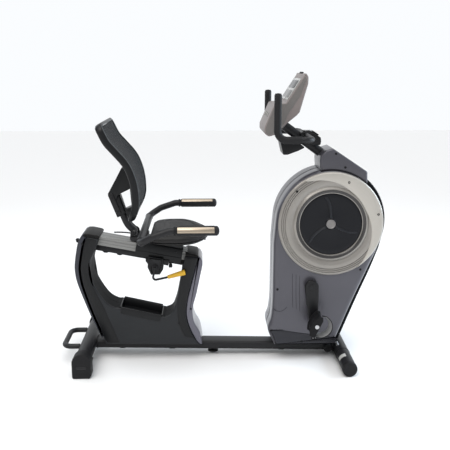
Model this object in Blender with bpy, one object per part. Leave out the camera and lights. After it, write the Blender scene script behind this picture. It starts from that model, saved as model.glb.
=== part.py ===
"""Recumbent exercise bike, built as separate sub-parts.

Metres, +Z up, +X towards the pedals and the console, Y across the machine.
The outlines are (x, z) pairs in the XZ plane, extruded along Y.  The finished
solids are moved along X by -ORIGIN_X, which puts the origin on the floor under
the middle of the bike.  "right" is the rider's right hand, at negative Y.
"""

from math import asin, atan2, cos, hypot, pi, radians, sin

import bmesh
import bpy
from mathutils import Matrix, Vector

# ---------------------------------------------------------------- driving dimensions
GAP = 0.0003                    # clearance left between pieces that touch
SHARP_EDGE = radians(35)        # edges steeper than this stay crisp
ORIGIN_X = -0.0135              # the outlines' X that ends up under the bike's middle

# base
BEAM_HALF_WIDTH = 0.040
BEAM_HALF_HEIGHT = 0.0195
BEAM_REAR_X, BEAM_REAR_Z = -0.616, 0.064      # the beam drops a little towards the front
BEAM_FRONT_X, BEAM_FRONT_Z = 0.533, 0.0390
REAR_TUBE_X, REAR_TUBE_Z, REAR_TUBE_RADIUS = -0.643, 0.071, 0.035
REAR_TUBE_HALF_LENGTH = 0.226
REAR_FOOT_WIDTH, REAR_FOOT_HEIGHT, REAR_FOOT_LENGTH = 0.084, 0.113, 0.060
FRONT_TUBE_X, FRONT_TUBE_RADIUS = 0.5385, 0.0325
FRONT_CAP_RADIUS, FRONT_CAP_LENGTH = 0.0338, 0.023
FRONT_TUBE_HALF_LENGTH = 0.280
HANDLE_RADIUS = 0.012
HANDLE_BACK_X, HANDLE_HALF_WIDTH, HANDLE_Z = -0.750, 0.105, 0.081

# seat support
RAIL_TILT = radians(10.8)       # the rail drops towards the front
RAIL_START = Vector((-0.586, 0.0, 0.5685))
RAIL_LENGTH = 0.420
RAIL_HALF_WIDTH, RAIL_HALF_HEIGHT = 0.048, 0.0205
RAIL_BEAM_HALF_WIDTH, RAIL_BEAM_DEPTH = 0.030, 0.031
UPRIGHT_HALF_WIDTH = 0.030
COVER_HALF_WIDTH, COVER_WALL = 0.080, 0.003
RAIL_SPACE_HALF_WIDTH = 0.052   # room that the covers and caps leave round the rail

# seat
CARRIAGE_START, CARRIAGE_LENGTH = 0.178, 0.212
CARRIAGE_HALF_WIDTH, CARRIAGE_WALL = 0.068, 0.0165
SEAT_BAR_RADIUS, SEAT_GRIP_RADIUS = 0.0155, 0.0205
SEAT_BAR_X, SEAT_BAR_Z = -0.372, 0.613
SEAT_BAR_HALF_WIDTH, SEAT_GRIP_Z = 0.3145, 0.671
RECLINE_X, RECLINE_Z = -0.418, 0.600
BACK_HALF_WIDTH = 0.200
BACK_POST_HALF_WIDTH, BACK_POST_HALF_DEPTH = 0.030, 0.0135
LEVER_X, LEVER_Z, LEVER_Y = -0.325, 0.451, -0.094

# drive
CRANK_X, CRANK_Z = 0.385, 0.365
CRANK_LENGTH, CRANK_LEAN = 0.150, radians(4.0)
CRANK_INNER_Y, CRANK_OUTER_Y = 0.1215, 0.1400
PEDAL_Y = 0.205
RING_X, RING_Z = 0.467, 0.650   # centre of the flywheel and of its covers
PULLEY_RADIUS, SMALL_PULLEY_RADIUS = 0.108, 0.018
BELT_Y, BELT_HALF_WIDTH, BELT_THICKNESS = -0.034, 0.007, 0.003
FLYWHEEL_RADIUS, FLYWHEEL_HALF_WIDTH = 0.125, 0.012

# pod
POD_X, POD_Z, POD_RADIUS = 0.4775, 0.643, 0.2565
POD_BOTTOM, POD_FACE_Y, POD_WALL = 0.0710, 0.104, 0.003
POD_BAND_HALF_WIDTH, POD_BAND_DEPTH = 0.008, 0.012
POD_EDGE_ROUND = 0.030
RING_OUTER, BEZEL_RADIUS, WINDOW_RADIUS = 0.237, 0.160, 0.141
RING_FACE_Y = 0.1185

# console
MAST_RADIUS = 0.021
MAST_LOW, MAST_HIGH = Vector((0.5135, 0.0, 0.898)), Vector((0.262, 0.0, 1.080))
CONSOLE_BAR_RADIUS, CONSOLE_GRIP_RADIUS = 0.0125, 0.0158
CONSOLE_BAR_HALF_WIDTH = 0.235
CONSOLE_BAR_X, CONSOLE_BAR_Z = 0.358, 1.0380
CONSOLE_HALF_WIDTH = 0.140
KEY_WIDTH, KEY_HEIGHT = 0.030, 0.016
NECK_HALF_WIDTH, NECK_ROUND, NECK_WALL = 0.088, 0.006, 0.004
TRAY_HALF_WIDTH, TRAY_WALL = 0.060, 0.004
SCREEN_HALF_WIDTH, SCREEN_THICKNESS = 0.122, 0.006


# ---------------------------------------------------------------- materials
def material(name, colour, roughness, metallic=0.0):
    """A Principled material of one colour."""
    mat = bpy.data.materials.new(name)
    mat.use_nodes = True
    shader = mat.node_tree.nodes["Principled BSDF"]
    shader.inputs["Base Color"].default_value = (*colour, 1.0)
    shader.inputs["Roughness"].default_value = roughness
    shader.inputs["Metallic"].default_value = metallic
    mat.diffuse_color = (*colour, 1.0)
    return mat


# ---------------------------------------------------------------- outlines and paths
def arc(centre_x, centre_z, radius, start, end, steps):
    """Points on a circular arc; the angles are in degrees."""
    turn = radians(end - start) / steps
    first = radians(start)
    return [
        (centre_x + radius * cos(first + turn * i), centre_z + radius * sin(first + turn * i))
        for i in range(steps + 1)
    ]


def smooth(points, steps=4):
    """A Catmull-Rom curve through the points, open at both ends."""
    pts = [Vector(p) for p in points]
    ext = [2 * pts[0] - pts[1], *pts, 2 * pts[-1] - pts[-2]]
    out = []
    for a, b, c, d in zip(ext, ext[1:], ext[2:], ext[3:]):
        for i in range(steps):
            t = i / steps
            out.append(
                0.5 * (2 * b + (c - a) * t + (2 * a - 5 * b + 4 * c - d) * t * t
                       + (3 * b - a - 3 * c + d) * t ** 3)
            )
    out.append(pts[-1])
    return [tuple(p) for p in out]


def bend(points, radius, steps=4):
    """A polyline whose corners are rounded to the radius, for bent tubes."""
    pts = [Vector(p) for p in points]
    out = [pts[0]]
    for before, corner, after in zip(pts, pts[1:], pts[2:]):
        into = (before - corner).normalized()
        away = (after - corner).normalized()
        half = into.angle(away) / 2
        reach = radius * cos(half) / sin(half)
        centre = corner + (into + away).normalized() * radius / sin(half)
        start, end = corner + into * reach, corner + away * reach
        swing = (start - centre).angle(end - centre)
        for i in range(steps + 1):
            t = i / steps
            a = sin((1 - t) * swing) / sin(swing)
            b = sin(t * swing) / sin(swing)
            out.append(centre + (start - centre) * a + (end - centre) * b)
    out.append(pts[-1])
    return out


def inset(outline, distance):
    """The closed outline moved towards its inside by the distance."""
    pts = [Vector(p) for p in outline]
    area = sum(a.x * b.y - b.x * a.y for a, b in zip(pts, pts[1:] + pts[:1]))
    side = 1 if area > 0 else -1
    out = []
    for before, here, after in zip(pts[-1:] + pts[:-1], pts, pts[1:] + pts[:1]):
        along_in = (here - before).normalized()
        along_out = (after - here).normalized()
        normal_in = Vector((-along_in.y, along_in.x)) * side
        normal_out = Vector((-along_out.y, along_out.x)) * side
        both = normal_in + normal_out
        scale = 2 / max(both.length_squared, 0.8)
        out.append(tuple(here + both * scale * distance))
    return out


# ---------------------------------------------------------------- solids
def new_object(name, bm, mat):
    """Turn the bmesh into a smooth-shaded object of one material."""
    bmesh.ops.remove_doubles(bm, verts=bm.verts, dist=0.00002)
    bmesh.ops.recalc_face_normals(bm, faces=bm.faces)
    mesh = bpy.data.meshes.new(name)
    bm.to_mesh(mesh)
    bm.free()
    if mat:
        mesh.materials.append(mat)
    mesh.shade_smooth()
    mesh.set_sharp_from_angle(angle=SHARP_EDGE)
    obj = bpy.data.objects.new(name, mesh)
    bpy.context.scene.collection.objects.link(obj)
    return obj


def loft(name, rings, mat, closed=False):
    """Skin a list of rings of 3-D points; the ends are filled, or joined when closed."""
    bm = bmesh.new()
    loops = [[bm.verts.new(p) for p in ring] for ring in rings]
    pairs = list(zip(loops, loops[1:]))
    if closed:
        pairs.append((loops[-1], loops[0]))
    for low, high in pairs:
        for i in range(len(low)):
            j = (i + 1) % len(low)
            bm.faces.new((low[i], low[j], high[j], high[i]))
    if not closed:
        bm.faces.new(loops[0])
        bm.faces.new(reversed(loops[-1]))
    return new_object(name, bm, mat)


def at_y(outline, y):
    """An XZ outline as 3-D points at one Y."""
    return [(x, y, z) for x, z in outline]


def plate(name, outline, y_low, y_high, mat, edge=0.0):
    """An XZ outline extruded along Y, with chamfered rims when edge is given."""
    rings = [at_y(outline, y_low), at_y(outline, y_high)]
    if edge:
        small = inset(outline, edge)
        rings = [
            at_y(small, y_low),
            at_y(outline, y_low + edge),
            at_y(outline, y_high - edge),
            at_y(small, y_high),
        ]
    return loft(name, rings, mat)


def half_shell(name, outline, y_open, y_face, mat, wall=COVER_WALL, edge=0.010, steps=3):
    """A hollow cover: open at y_open, with a rounded rim around its face at y_face."""
    way = 1 if y_face > y_open else -1
    inner = inset(outline, wall)
    rings = [at_y(inset(inner, edge * 0.6), y_face - way * wall)]
    rings.append(at_y(inner, y_face - way * (wall + edge * 0.8)))
    rings.append(at_y(inner, y_open))
    rings.append(at_y(outline, y_open))
    for i in range(steps + 1):
        turn = pi / 2 * i / steps
        rings.append(at_y(inset(outline, edge * (1 - cos(turn))), y_face - way * edge * (1 - sin(turn))))
    return loft(name, rings, mat)


def sweep(name, path, section, mat, across=(0, 1, 0), closed=False):
    """Carry a (side, up) section along a 3-D path; side starts out along across."""
    pts = [Vector(p) for p in path]
    side = Vector(across)
    rings = []
    for i, here in enumerate(pts):
        if closed:
            tangent = pts[(i + 1) % len(pts)] - pts[i - 1]
        else:
            tangent = pts[min(i + 1, len(pts) - 1)] - pts[max(i - 1, 0)]
        tangent.normalize()
        side = (side - tangent * side.dot(tangent)).normalized()
        up = tangent.cross(side)
        rings.append([here + side * u + up * v for u, v in section])
    return loft(name, rings, mat, closed)


def circle(radius, sides=12):
    """A round section."""
    return [(radius * cos(2 * pi * i / sides), radius * sin(2 * pi * i / sides)) for i in range(sides)]


def rounded_box_section(half_width, half_height, corner, steps=2):
    """A rectangular section with rounded corners."""
    out = []
    for quarter, (sx, sz) in enumerate(((1, 1), (-1, 1), (-1, -1), (1, -1))):
        out += arc(sx * (half_width - corner), sz * (half_height - corner), corner,
                   90 * quarter, 90 * quarter + 90, steps)
    return out


def tube(name, path, radius, mat, sides=12, across=(0, 1, 0)):
    """A round bar along a path."""
    return sweep(name, path, circle(radius, sides), mat, across)


def sleeve(name, path, outer, inner, mat, sides=12):
    """A round tube with a bore, closed at neither end."""
    bar = tube(name, path, outer, mat, sides, (1, 0, 0))
    pts = [Vector(p) for p in path]
    longer = [pts[0] + (pts[0] - pts[1]) * 0.5, *pts[1:-1], pts[-1] + (pts[-1] - pts[-2]) * 0.5]
    cut(bar, tube(name + "_bore", longer, inner, None, sides, (1, 0, 0)))
    return bar


def turned(name, profile, centre, mat, sides=32, closed=True):
    """Turn a profile of (radius, y) pairs about the Y axis through the centre."""
    bm = bmesh.new()
    start = [bm.verts.new((centre[0] + r, centre[1] + y, centre[2])) for r, y in profile]
    edges = [bm.edges.new(pair) for pair in zip(start, start[1:])]
    if closed:
        edges.append(bm.edges.new((start[-1], start[0])))
    bmesh.ops.spin(bm, geom=start + edges, cent=centre, axis=(0, 1, 0), angle=2 * pi,
                   steps=sides, use_merge=True, use_duplicate=False)
    bmesh.ops.remove_doubles(bm, verts=bm.verts, dist=0.00005)
    return new_object(name, bm, mat)


def drum(name, radius, y_low, y_high, centre_x, centre_z, mat, sides=24, edge=0.0015):
    """A solid round disc or bar across the machine, with chamfered rims."""
    profile = [(0, y_low), (radius - edge, y_low), (radius, y_low + edge),
               (radius, y_high - edge), (radius - edge, y_high), (0, y_high)]
    return turned(name, profile, (centre_x, 0, centre_z), mat, sides, closed=False)


def block(name, low, high, mat, edge=0.002, turn=0.0):
    """A chamfered box between two corners, turned about the Y axis through its middle."""
    bm = bmesh.new()
    low, high = Vector(low), Vector(high)
    bmesh.ops.create_cube(bm, size=1.0, matrix=Matrix.Diagonal((*(high - low), 1.0)))
    if edge:
        bmesh.ops.bevel(bm, geom=list(bm.edges), offset=edge, segments=1, affect="EDGES")
    place = Matrix.Translation((low + high) / 2) @ Matrix.Rotation(turn, 4, "Y")
    bmesh.ops.transform(bm, matrix=place, verts=bm.verts)
    return new_object(name, bm, mat)


def boolean(obj, tool, operation):
    """Keep an exact Boolean of the tool on the object, and leave the tool out of the model."""
    tool.hide_render = True
    tool.display_type = "WIRE"
    change = obj.modifiers.new(operation.lower(), "BOOLEAN")
    change.operation = operation
    change.solver = "EXACT"
    change.object = tool


def cut(obj, tool):
    """Subtract the tool from the object."""
    boolean(obj, tool, "DIFFERENCE")


def join(obj, tool):
    """Weld the tool to the object."""
    boolean(obj, tool, "UNION")


def both_sides():
    """The two sides of the machine: a name and the sign of Y."""
    return (("right", -1), ("left", 1))


# ---------------------------------------------------------------- the rail's own frame
RAIL_ALONG = Vector((cos(RAIL_TILT), 0, -sin(RAIL_TILT)))
RAIL_UP = Vector((sin(RAIL_TILT), 0, cos(RAIL_TILT)))


def on_rail(along, up=0.0, y=0.0):
    """A point given by its distance along the rail, above its middle, and across."""
    return RAIL_START + RAIL_ALONG * along + RAIL_UP * up + Vector((0, y, 0))


def rail_outline(along_low, along_high, up_low, up_high):
    """A rectangle in the rail's frame, as an XZ outline."""
    corners = (
        on_rail(along_low, up_low),
        on_rail(along_high, up_low),
        on_rail(along_high, up_high),
        on_rail(along_low, up_high),
    )
    return [(p.x, p.z) for p in corners]


# ---------------------------------------------------------------- base
def beam_top(x):
    """Height of the main beam's upper face."""
    slope = (BEAM_FRONT_Z - BEAM_REAR_Z) / (BEAM_FRONT_X - BEAM_REAR_X)
    return BEAM_REAR_Z + slope * (x - BEAM_REAR_X) + BEAM_HALF_HEIGHT


def beam_solid(name, spread, mat):
    """The main beam's bar, or a larger one that clears it."""
    section = rounded_box_section(BEAM_HALF_WIDTH + spread, BEAM_HALF_HEIGHT + spread, 0.010)
    ends = [(BEAM_REAR_X, 0, BEAM_REAR_Z), (BEAM_FRONT_X, 0, BEAM_FRONT_Z)]
    return sweep(name, ends, section, mat)


def make_base(mats):
    """Main beam, stabilisers with their feet, lift handle, wheels and levelling foot."""
    beam = beam_solid("main_beam", 0.0, mats["frame"])
    cut(beam, drum("rear_saddle", REAR_TUBE_RADIUS + GAP, -0.1, 0.1, REAR_TUBE_X, REAR_TUBE_Z, None))
    cut(beam, drum("front_saddle", FRONT_TUBE_RADIUS + GAP, -0.1, 0.1,
                   FRONT_TUBE_X, FRONT_CAP_RADIUS, None))

    drum("rear_stabiliser", REAR_TUBE_RADIUS, -REAR_TUBE_HALF_LENGTH, REAR_TUBE_HALF_LENGTH,
         REAR_TUBE_X, REAR_TUBE_Z, mats["frame"])
    drum("front_stabiliser", FRONT_TUBE_RADIUS, -FRONT_TUBE_HALF_LENGTH, FRONT_TUBE_HALF_LENGTH,
         FRONT_TUBE_X, FRONT_CAP_RADIUS, mats["frame"])

    half = REAR_FOOT_WIDTH / 2
    foot = [(REAR_TUBE_X - half + 0.004, 0), (REAR_TUBE_X - half, 0.006)]
    foot += arc(REAR_TUBE_X, REAR_FOOT_HEIGHT - half, half, 180, 0, 8)
    foot += [(REAR_TUBE_X + half, 0.012), (REAR_TUBE_X + half - 0.008, 0)]
    for side, sign in both_sides():
        near = sign * (REAR_TUBE_HALF_LENGTH + GAP)
        far = sign * (REAR_TUBE_HALF_LENGTH + REAR_FOOT_LENGTH)
        plate(f"rear_foot_{side}", foot[::-1], min(near, far), max(near, far), mats["rubber"], 0.003)
        near = sign * (FRONT_TUBE_HALF_LENGTH + GAP)
        far = sign * (FRONT_TUBE_HALF_LENGTH + FRONT_CAP_LENGTH)
        drum(f"front_cap_{side}", FRONT_CAP_RADIUS, min(near, far), max(near, far),
             FRONT_TUBE_X, FRONT_CAP_RADIUS, mats["rubber"], 20, 0.002)

    front_x = REAR_TUBE_X - REAR_TUBE_RADIUS - GAP
    corners = [
        (front_x, -HANDLE_HALF_WIDTH, HANDLE_Z),
        (HANDLE_BACK_X, -HANDLE_HALF_WIDTH, HANDLE_Z),
        (HANDLE_BACK_X, HANDLE_HALF_WIDTH, HANDLE_Z),
        (front_x, HANDLE_HALF_WIDTH, HANDLE_Z),
    ]
    tube("lift_handle", bend(corners, 0.036, 4), HANDLE_RADIUS, mats["frame"], 10, (0, 0, 1))

    wheel_x, wheel_z, wheel_radius = FRONT_TUBE_X - 0.058, 0.036, 0.020
    for side, sign in both_sides():
        inner = BEAM_HALF_WIDTH + GAP
        profile = [(0, inner), (0.005, inner), (0.005, inner + 0.002),
                   (wheel_radius, inner + 0.003), (wheel_radius, inner + 0.018), (0, inner + 0.018)]
        turned(f"transport_wheel_{side}", [(r, sign * y) for r, y in profile],
               (wheel_x, 0, wheel_z), mats["rubber"], 16, closed=False)

    foot_x, foot_low, post, pad = -0.062, 0.010, 0.008, 0.025
    under_beam = beam_top(foot_x) - 2 * BEAM_HALF_HEIGHT - GAP
    heights = ((foot_low, pad), (foot_low + 0.007, pad), (foot_low + 0.010, post), (under_beam, post))
    rings = [[(foot_x + u, v, z) for u, v in circle(r, 16)] for z, r in heights]
    loft("levelling_foot", rings, mats["rubber"])


# ---------------------------------------------------------------- seat support
def cover_outline():
    """The U-shaped side of the seat support's covers: two uprights joined by a low box."""
    rear_edge = smooth([(-0.6290, 0.5910), (-0.644, 0.560), (-0.662, 0.471), (-0.664, 0.426),
                        (-0.6535, 0.357), (-0.615, 0.235), (-0.570, 0.115)], 2)
    base = [(-0.560, 0.078), (-0.122, 0.060)]
    front_edge = smooth([(-0.145, 0.098), (-0.173, 0.158), (-0.186, 0.218), (-0.182, 0.276),
                         (-0.171, 0.329), (-0.147, 0.421), (-0.128, 0.4920)], 2)
    inner_front = smooth([(-0.187, 0.4975), (-0.203, 0.439), (-0.211, 0.387), (-0.226, 0.306),
                          (-0.236, 0.266), (-0.254, 0.224), (-0.285, 0.209)], 2)
    inner_rear = smooth([(-0.495, 0.2560), (-0.514, 0.258), (-0.551, 0.281), (-0.585, 0.328),
                         (-0.612, 0.382), (-0.620, 0.428), (-0.616, 0.480), (-0.590, 0.539),
                         (-0.577, 0.5810)], 2)
    return rear_edge + base + front_edge + inner_front + inner_rear


def trim_outline(outer, inner):
    """A closed strip between an outer curve and an inner one."""
    return smooth(outer, 2) + smooth(inner, 2)[::-1]


def make_seat_support(mats):
    """Welded seat frame, its covers, trims and caps, the storage tray and the seat rail."""
    half = UPRIGHT_HALF_WIDTH
    under = -RAIL_HALF_HEIGHT - GAP
    frame = plate("seat_frame",
                  rail_outline(-0.008, RAIL_LENGTH, under - RAIL_BEAM_DEPTH, under),
                  -RAIL_BEAM_HALF_WIDTH, RAIL_BEAM_HALF_WIDTH, mats["frame"])
    rear_foot, front_foot = beam_top(-0.500) + 2 * GAP, beam_top(-0.215) + 2 * GAP
    rear_post = [(-0.545, rear_foot + 0.001), (-0.500, rear_foot), (-0.560, 0.200), (-0.632, 0.390),
                 (-0.634, 0.440), (-0.627, 0.488), (-0.6115, 0.514), (-0.597, 0.530), (-0.606, 0.540),
                 (-0.652, 0.440), (-0.650, 0.390), (-0.590, 0.200)]
    front_post = [(-0.215, front_foot), (-0.165, front_foot), (-0.203, 0.200), (-0.160, 0.430),
                  (-0.155, 0.450), (-0.180, 0.455), (-0.188, 0.430), (-0.234, 0.240)]
    join(frame, plate("rear_post", rear_post, -half, half, None))
    join(frame, plate("front_post", front_post, -half, half, None))

    groove = RAIL_HALF_WIDTH - 0.009
    side = [
        (RAIL_HALF_WIDTH, -RAIL_HALF_HEIGHT), (RAIL_HALF_WIDTH, -0.011), (groove, -0.007),
        (groove, 0.007), (RAIL_HALF_WIDTH, 0.011), (RAIL_HALF_WIDTH, RAIL_HALF_HEIGHT - 0.003),
        (RAIL_HALF_WIDTH - 0.003, RAIL_HALF_HEIGHT),
    ]
    section = side + [(-u, v) for u, v in side[::-1]]
    sweep("seat_rail", [on_rail(0), on_rail(RAIL_LENGTH)], section, mats["rail"])

    outline = cover_outline()
    clear = RAIL_SPACE_HALF_WIDTH
    rail_space = rail_outline(-0.020, RAIL_LENGTH + 0.010, -0.052, 0.023)
    for name, sign in both_sides():
        shell = half_shell(f"rear_cover_{name}", outline, sign * GAP, sign * COVER_HALF_WIDTH,
                           mats["cover"], edge=0.006, steps=1)
        cut(shell, plate(f"rail_space_{name}", rail_space, -clear, clear, None))
        cut(shell, beam_solid(f"beam_space_{name}", 2 * GAP, None))

    rear_trim = trim_outline(
        [(-0.6500, 0.6020), (-0.670, 0.565), (-0.6865, 0.483), (-0.689, 0.426), (-0.675, 0.357),
         (-0.6185, 0.199), (-0.5765, 0.108)],
        [(-0.6305, 0.5910), (-0.6452, 0.560), (-0.6634, 0.471), (-0.6654, 0.426), (-0.6549, 0.357),
         (-0.6163, 0.235), (-0.5725, 0.1150)],
    )
    trim = plate("rear_trim", rear_trim, -COVER_HALF_WIDTH, COVER_HALF_WIDTH, mats["trim"], 0.004)
    cut(trim, drum("rear_trim_relief", REAR_TUBE_RADIUS + GAP, -0.1, 0.1, REAR_TUBE_X, REAR_TUBE_Z, None))
    front_trim = trim_outline(
        [(-0.1275, 0.4980), (-0.117, 0.489), (-0.109, 0.463), (-0.119, 0.410), (-0.139, 0.317),
         (-0.1545, 0.259), (-0.156, 0.217), (-0.148, 0.178), (-0.124, 0.132), (-0.113, 0.070)],
        [(-0.1265, 0.4920), (-0.1455, 0.421), (-0.1695, 0.329), (-0.1805, 0.276), (-0.1845, 0.218),
         (-0.1712, 0.1588), (-0.1432, 0.0990), (-0.1245, 0.070)],
    )
    front = plate("front_trim", front_trim, -COVER_HALF_WIDTH, COVER_HALF_WIDTH, mats["trim"], 0.004)
    cut(front, beam_solid("beam_space_trim", 2 * GAP, None))

    rear_cap = [(-0.6300, 0.5920), (-0.5770, 0.5822), (-0.5725, 0.5840), (-0.5725, 0.5930),
                (-0.583, 0.5980), (-0.620, 0.6060), (-0.636, 0.6055), (-0.6490, 0.6030)]
    front_cap = [(-0.1870, 0.4985), (-0.1290, 0.4930), (-0.1285, 0.4985), (-0.136, 0.5040),
                 (-0.176, 0.5120), (-0.187, 0.5090)]
    for name, outline_points in (("rear_top_cap", rear_cap), ("front_top_cap", front_cap)):
        cap = plate(name, outline_points, -COVER_HALF_WIDTH, COVER_HALF_WIDTH, mats["cap"], 0.0015)
        cut(cap, plate(f"{name}_space", rail_space, -clear, clear, None))

    make_storage_tray(mats)


def make_storage_tray(mats):
    """An open tray set between the uprights, its rim sloping down towards the front."""
    rim = [(-0.489, 0.2575), (-0.297, 0.2130)]
    slope = atan2(rim[1][1] - rim[0][1], rim[1][0] - rim[0][0])
    down = Vector((sin(slope), -cos(slope)))
    depth, wall = 0.040, 0.003
    low = [(x + down.x * depth, z + down.y * depth) for x, z in rim]
    outer = [rim[0], low[0], low[1], rim[1]]
    half = COVER_HALF_WIDTH - COVER_WALL - 0.004
    tray = plate("storage_tray", outer, -half, half, mats["cover"])
    inside = inset(outer, wall)
    raised = [(x - down.x * 0.02, z - down.y * 0.02) for x, z in (inside[0], inside[3])]
    cavity = [raised[0], inside[1], inside[2], raised[1]]
    cut(tray, plate("tray_cavity", cavity, -half + wall, half - wall, None))
    clear = [rim[0], (low[0][0] - 0.001, low[0][1] - 0.001), (low[1][0] + 0.001, low[1][1] - 0.001),
             rim[1]]
    grown = inset(clear, -0.001)
    for side in ("right", "left"):
        cut(bpy.data.objects[f"rear_cover_{side}"],
            plate(f"tray_space_{side}", grown, -half - GAP, half + GAP, None))


# ---------------------------------------------------------------- seat
def make_carriage(mats):
    """The sliding carriage, its seat pan and cushion, the side handlebar and its grips."""
    half, wall = CARRIAGE_HALF_WIDTH, CARRIAGE_WALL
    top, low = 0.034, -0.040
    inner_top = RAIL_HALF_HEIGHT + 0.001
    side = [(half - wall, inner_top), (half - wall, low), (half, low), (half, top - 0.006),
            (half - 0.006, top)]
    section = side + [(-u, v) for u, v in side[::-1]]
    path = [on_rail(CARRIAGE_START), on_rail(CARRIAGE_START + CARRIAGE_LENGTH)]
    carriage = sweep("seat_carriage", path, section, mats["cover"])
    front_top = on_rail(CARRIAGE_START + CARRIAGE_LENGTH - 0.004, top - 0.004)
    back_top = on_rail(CARRIAGE_START + 0.075, top - 0.004)
    wedge = [(back_top.x, back_top.z), (front_top.x, front_top.z),
             (front_top.x, 0.5580), (back_top.x, 0.5640)]
    join(carriage, plate("seat_wedge", wedge, -0.060, 0.060, None))
    hexagon = [(-0.354, 0.492), (-0.359, 0.450), (-0.344, 0.415), (-0.303, 0.415), (-0.288, 0.440),
               (-0.2865, 0.480)]
    join(carriage, plate("lever_housing", hexagon, -0.088, -0.036, None, 0.003))
    foot = on_rail(0.150, RAIL_HALF_HEIGHT + 0.002), on_rail(0.215, RAIL_HALF_HEIGHT + 0.002)
    hinge_block = [(foot[0].x, foot[0].z), (foot[1].x, foot[1].z), (-0.356, 0.556), (-0.356, 0.592),
                   (-0.390, 0.596), (-0.402, 0.582), (-0.440, 0.580)]
    join(carriage, plate("bar_mount", hinge_block, -0.048, 0.048, None))
    ear = [(-0.440, 0.574), (-0.396, 0.574), (-0.402, 0.606), (-0.412, 0.616), (-0.426, 0.615),
           (-0.436, 0.604)]
    for name, sign in both_sides():
        low_y, high_y = sorted((sign * 0.0305, sign * 0.0370))
        join(carriage, plate(f"hinge_ear_{name}", ear, low_y, high_y, None))
    saddle = [(SEAT_BAR_X + u, SEAT_BAR_Z + v) for u, v in circle(SEAT_BAR_RADIUS + GAP, 24)]
    cut(carriage, plate("bar_saddle", saddle, -0.06, 0.06, None))

    make_seat(mats)

    half, reach = SEAT_BAR_HALF_WIDTH, -0.041
    corners = [
        (reach, -half, SEAT_GRIP_Z), (-0.244, -half, SEAT_GRIP_Z), (-0.318, -half, 0.646),
        (SEAT_BAR_X, -half + 0.020, SEAT_BAR_Z), (SEAT_BAR_X, half - 0.020, SEAT_BAR_Z),
        (-0.318, half, 0.646), (-0.244, half, SEAT_GRIP_Z), (reach, half, SEAT_GRIP_Z),
    ]
    tube("seat_handlebar", bend(corners, 0.040, 3), SEAT_BAR_RADIUS, mats["frame"], 10, (0, 0, 1))
    for name, sign in both_sides():
        y, radius = sign * half, SEAT_GRIP_RADIUS
        stations = ((-0.222, radius - 0.002), (-0.220, radius), (-0.044, radius), (-0.039, radius - 0.003),
                    (-0.037, radius - 0.008))
        rings = [[(x, y + u, SEAT_GRIP_Z + v) for u, v in circle(r, 14)] for x, r in stations]
        grip = loft(f"seat_grip_{name}", rings, mats["grip"])
        bore = [(-0.230, y, SEAT_GRIP_Z), (reach + GAP, y, SEAT_GRIP_Z)]
        cut(grip, tube(f"grip_bore_{name}", bore, SEAT_BAR_RADIUS + 2 * GAP, None, 10, (0, 0, 1)))


def seat_plan(shrink, z, fall=0.0):
    """The seat seen from above: square at the back, tapered to a round nose in front."""
    rear, shoulder, nose = -0.3450 + shrink, -0.215, -0.074 - shrink
    wide, corner = 0.200 - shrink, 0.050
    points = []
    for i in range(9):
        turn = pi / 2 - pi * i / 8
        points.append((shoulder + (nose - shoulder) * cos(turn), wide * sin(turn)))
    points += arc(rear + corner, -wide + corner, corner, 270, 180, 3)
    points += arc(rear + corner, wide - corner, corner, 180, 90, 3)
    forward = 1 / (nose - shoulder)
    return [(x, y, z - fall * max(0, (x - shoulder) * forward) ** 2) for x, y in points]


def make_seat(mats):
    """The plastic seat pan and the padded cushion on it."""
    low, high = 0.5650, 0.5850
    loft("seat_pan", [seat_plan(0.085, low), seat_plan(0.035, low + 0.006, 0.006),
                      seat_plan(0.010, high - 0.004), seat_plan(0.008, high)], mats["pan"])
    low = high + 2 * GAP
    loft("seat_cushion", [seat_plan(0.012, low), seat_plan(0.002, low + 0.010),
                          seat_plan(0.006, low + 0.024, 0.010), seat_plan(0.018, low + 0.036, 0.020),
                          seat_plan(0.055, low + 0.041, 0.024)], mats["vinyl"])


def make_lever(mats):
    """The seat release lever with its grip."""
    corners = [(LEVER_X, LEVER_Y, LEVER_Z), (LEVER_X - 0.012, LEVER_Y, 0.390),
               (-0.271, LEVER_Y, 0.4045), (-0.224, LEVER_Y, 0.4180)]
    lever = tube("release_lever", bend(corners, 0.010, 2), 0.0050, mats["frame"], 8)
    hub = drum("lever_hub", 0.012, LEVER_Y - 0.006, -0.088 - GAP, LEVER_X, LEVER_Z, None, 20, 0.001)
    join(lever, hub)
    start, end = Vector((-0.2665, LEVER_Y, 0.4058)), Vector((-0.188, LEVER_Y, 0.4283))
    along = (end - start).normalized()
    path = [start, start.lerp(end, 0.3), start.lerp(end, 0.7), end - along * 0.004, end]
    sizes = [0.0090, 0.0100, 0.0118, 0.0126, 0.0112]
    grip_side = Vector((0, 1, 0))
    up = along.cross(grip_side)
    rings = [[p + grip_side * u * r + up * v * r for u, v in circle(1.0, 12)]
             for p, r in zip(path, sizes)]
    grip = loft("lever_grip", rings, mats["yellow"])
    bore = [start - along * 0.01, Vector(corners[3]) + along * 0.001]
    cut(grip, tube("lever_grip_bore", bore, 0.0050 + 2 * GAP, None, 8))


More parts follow.
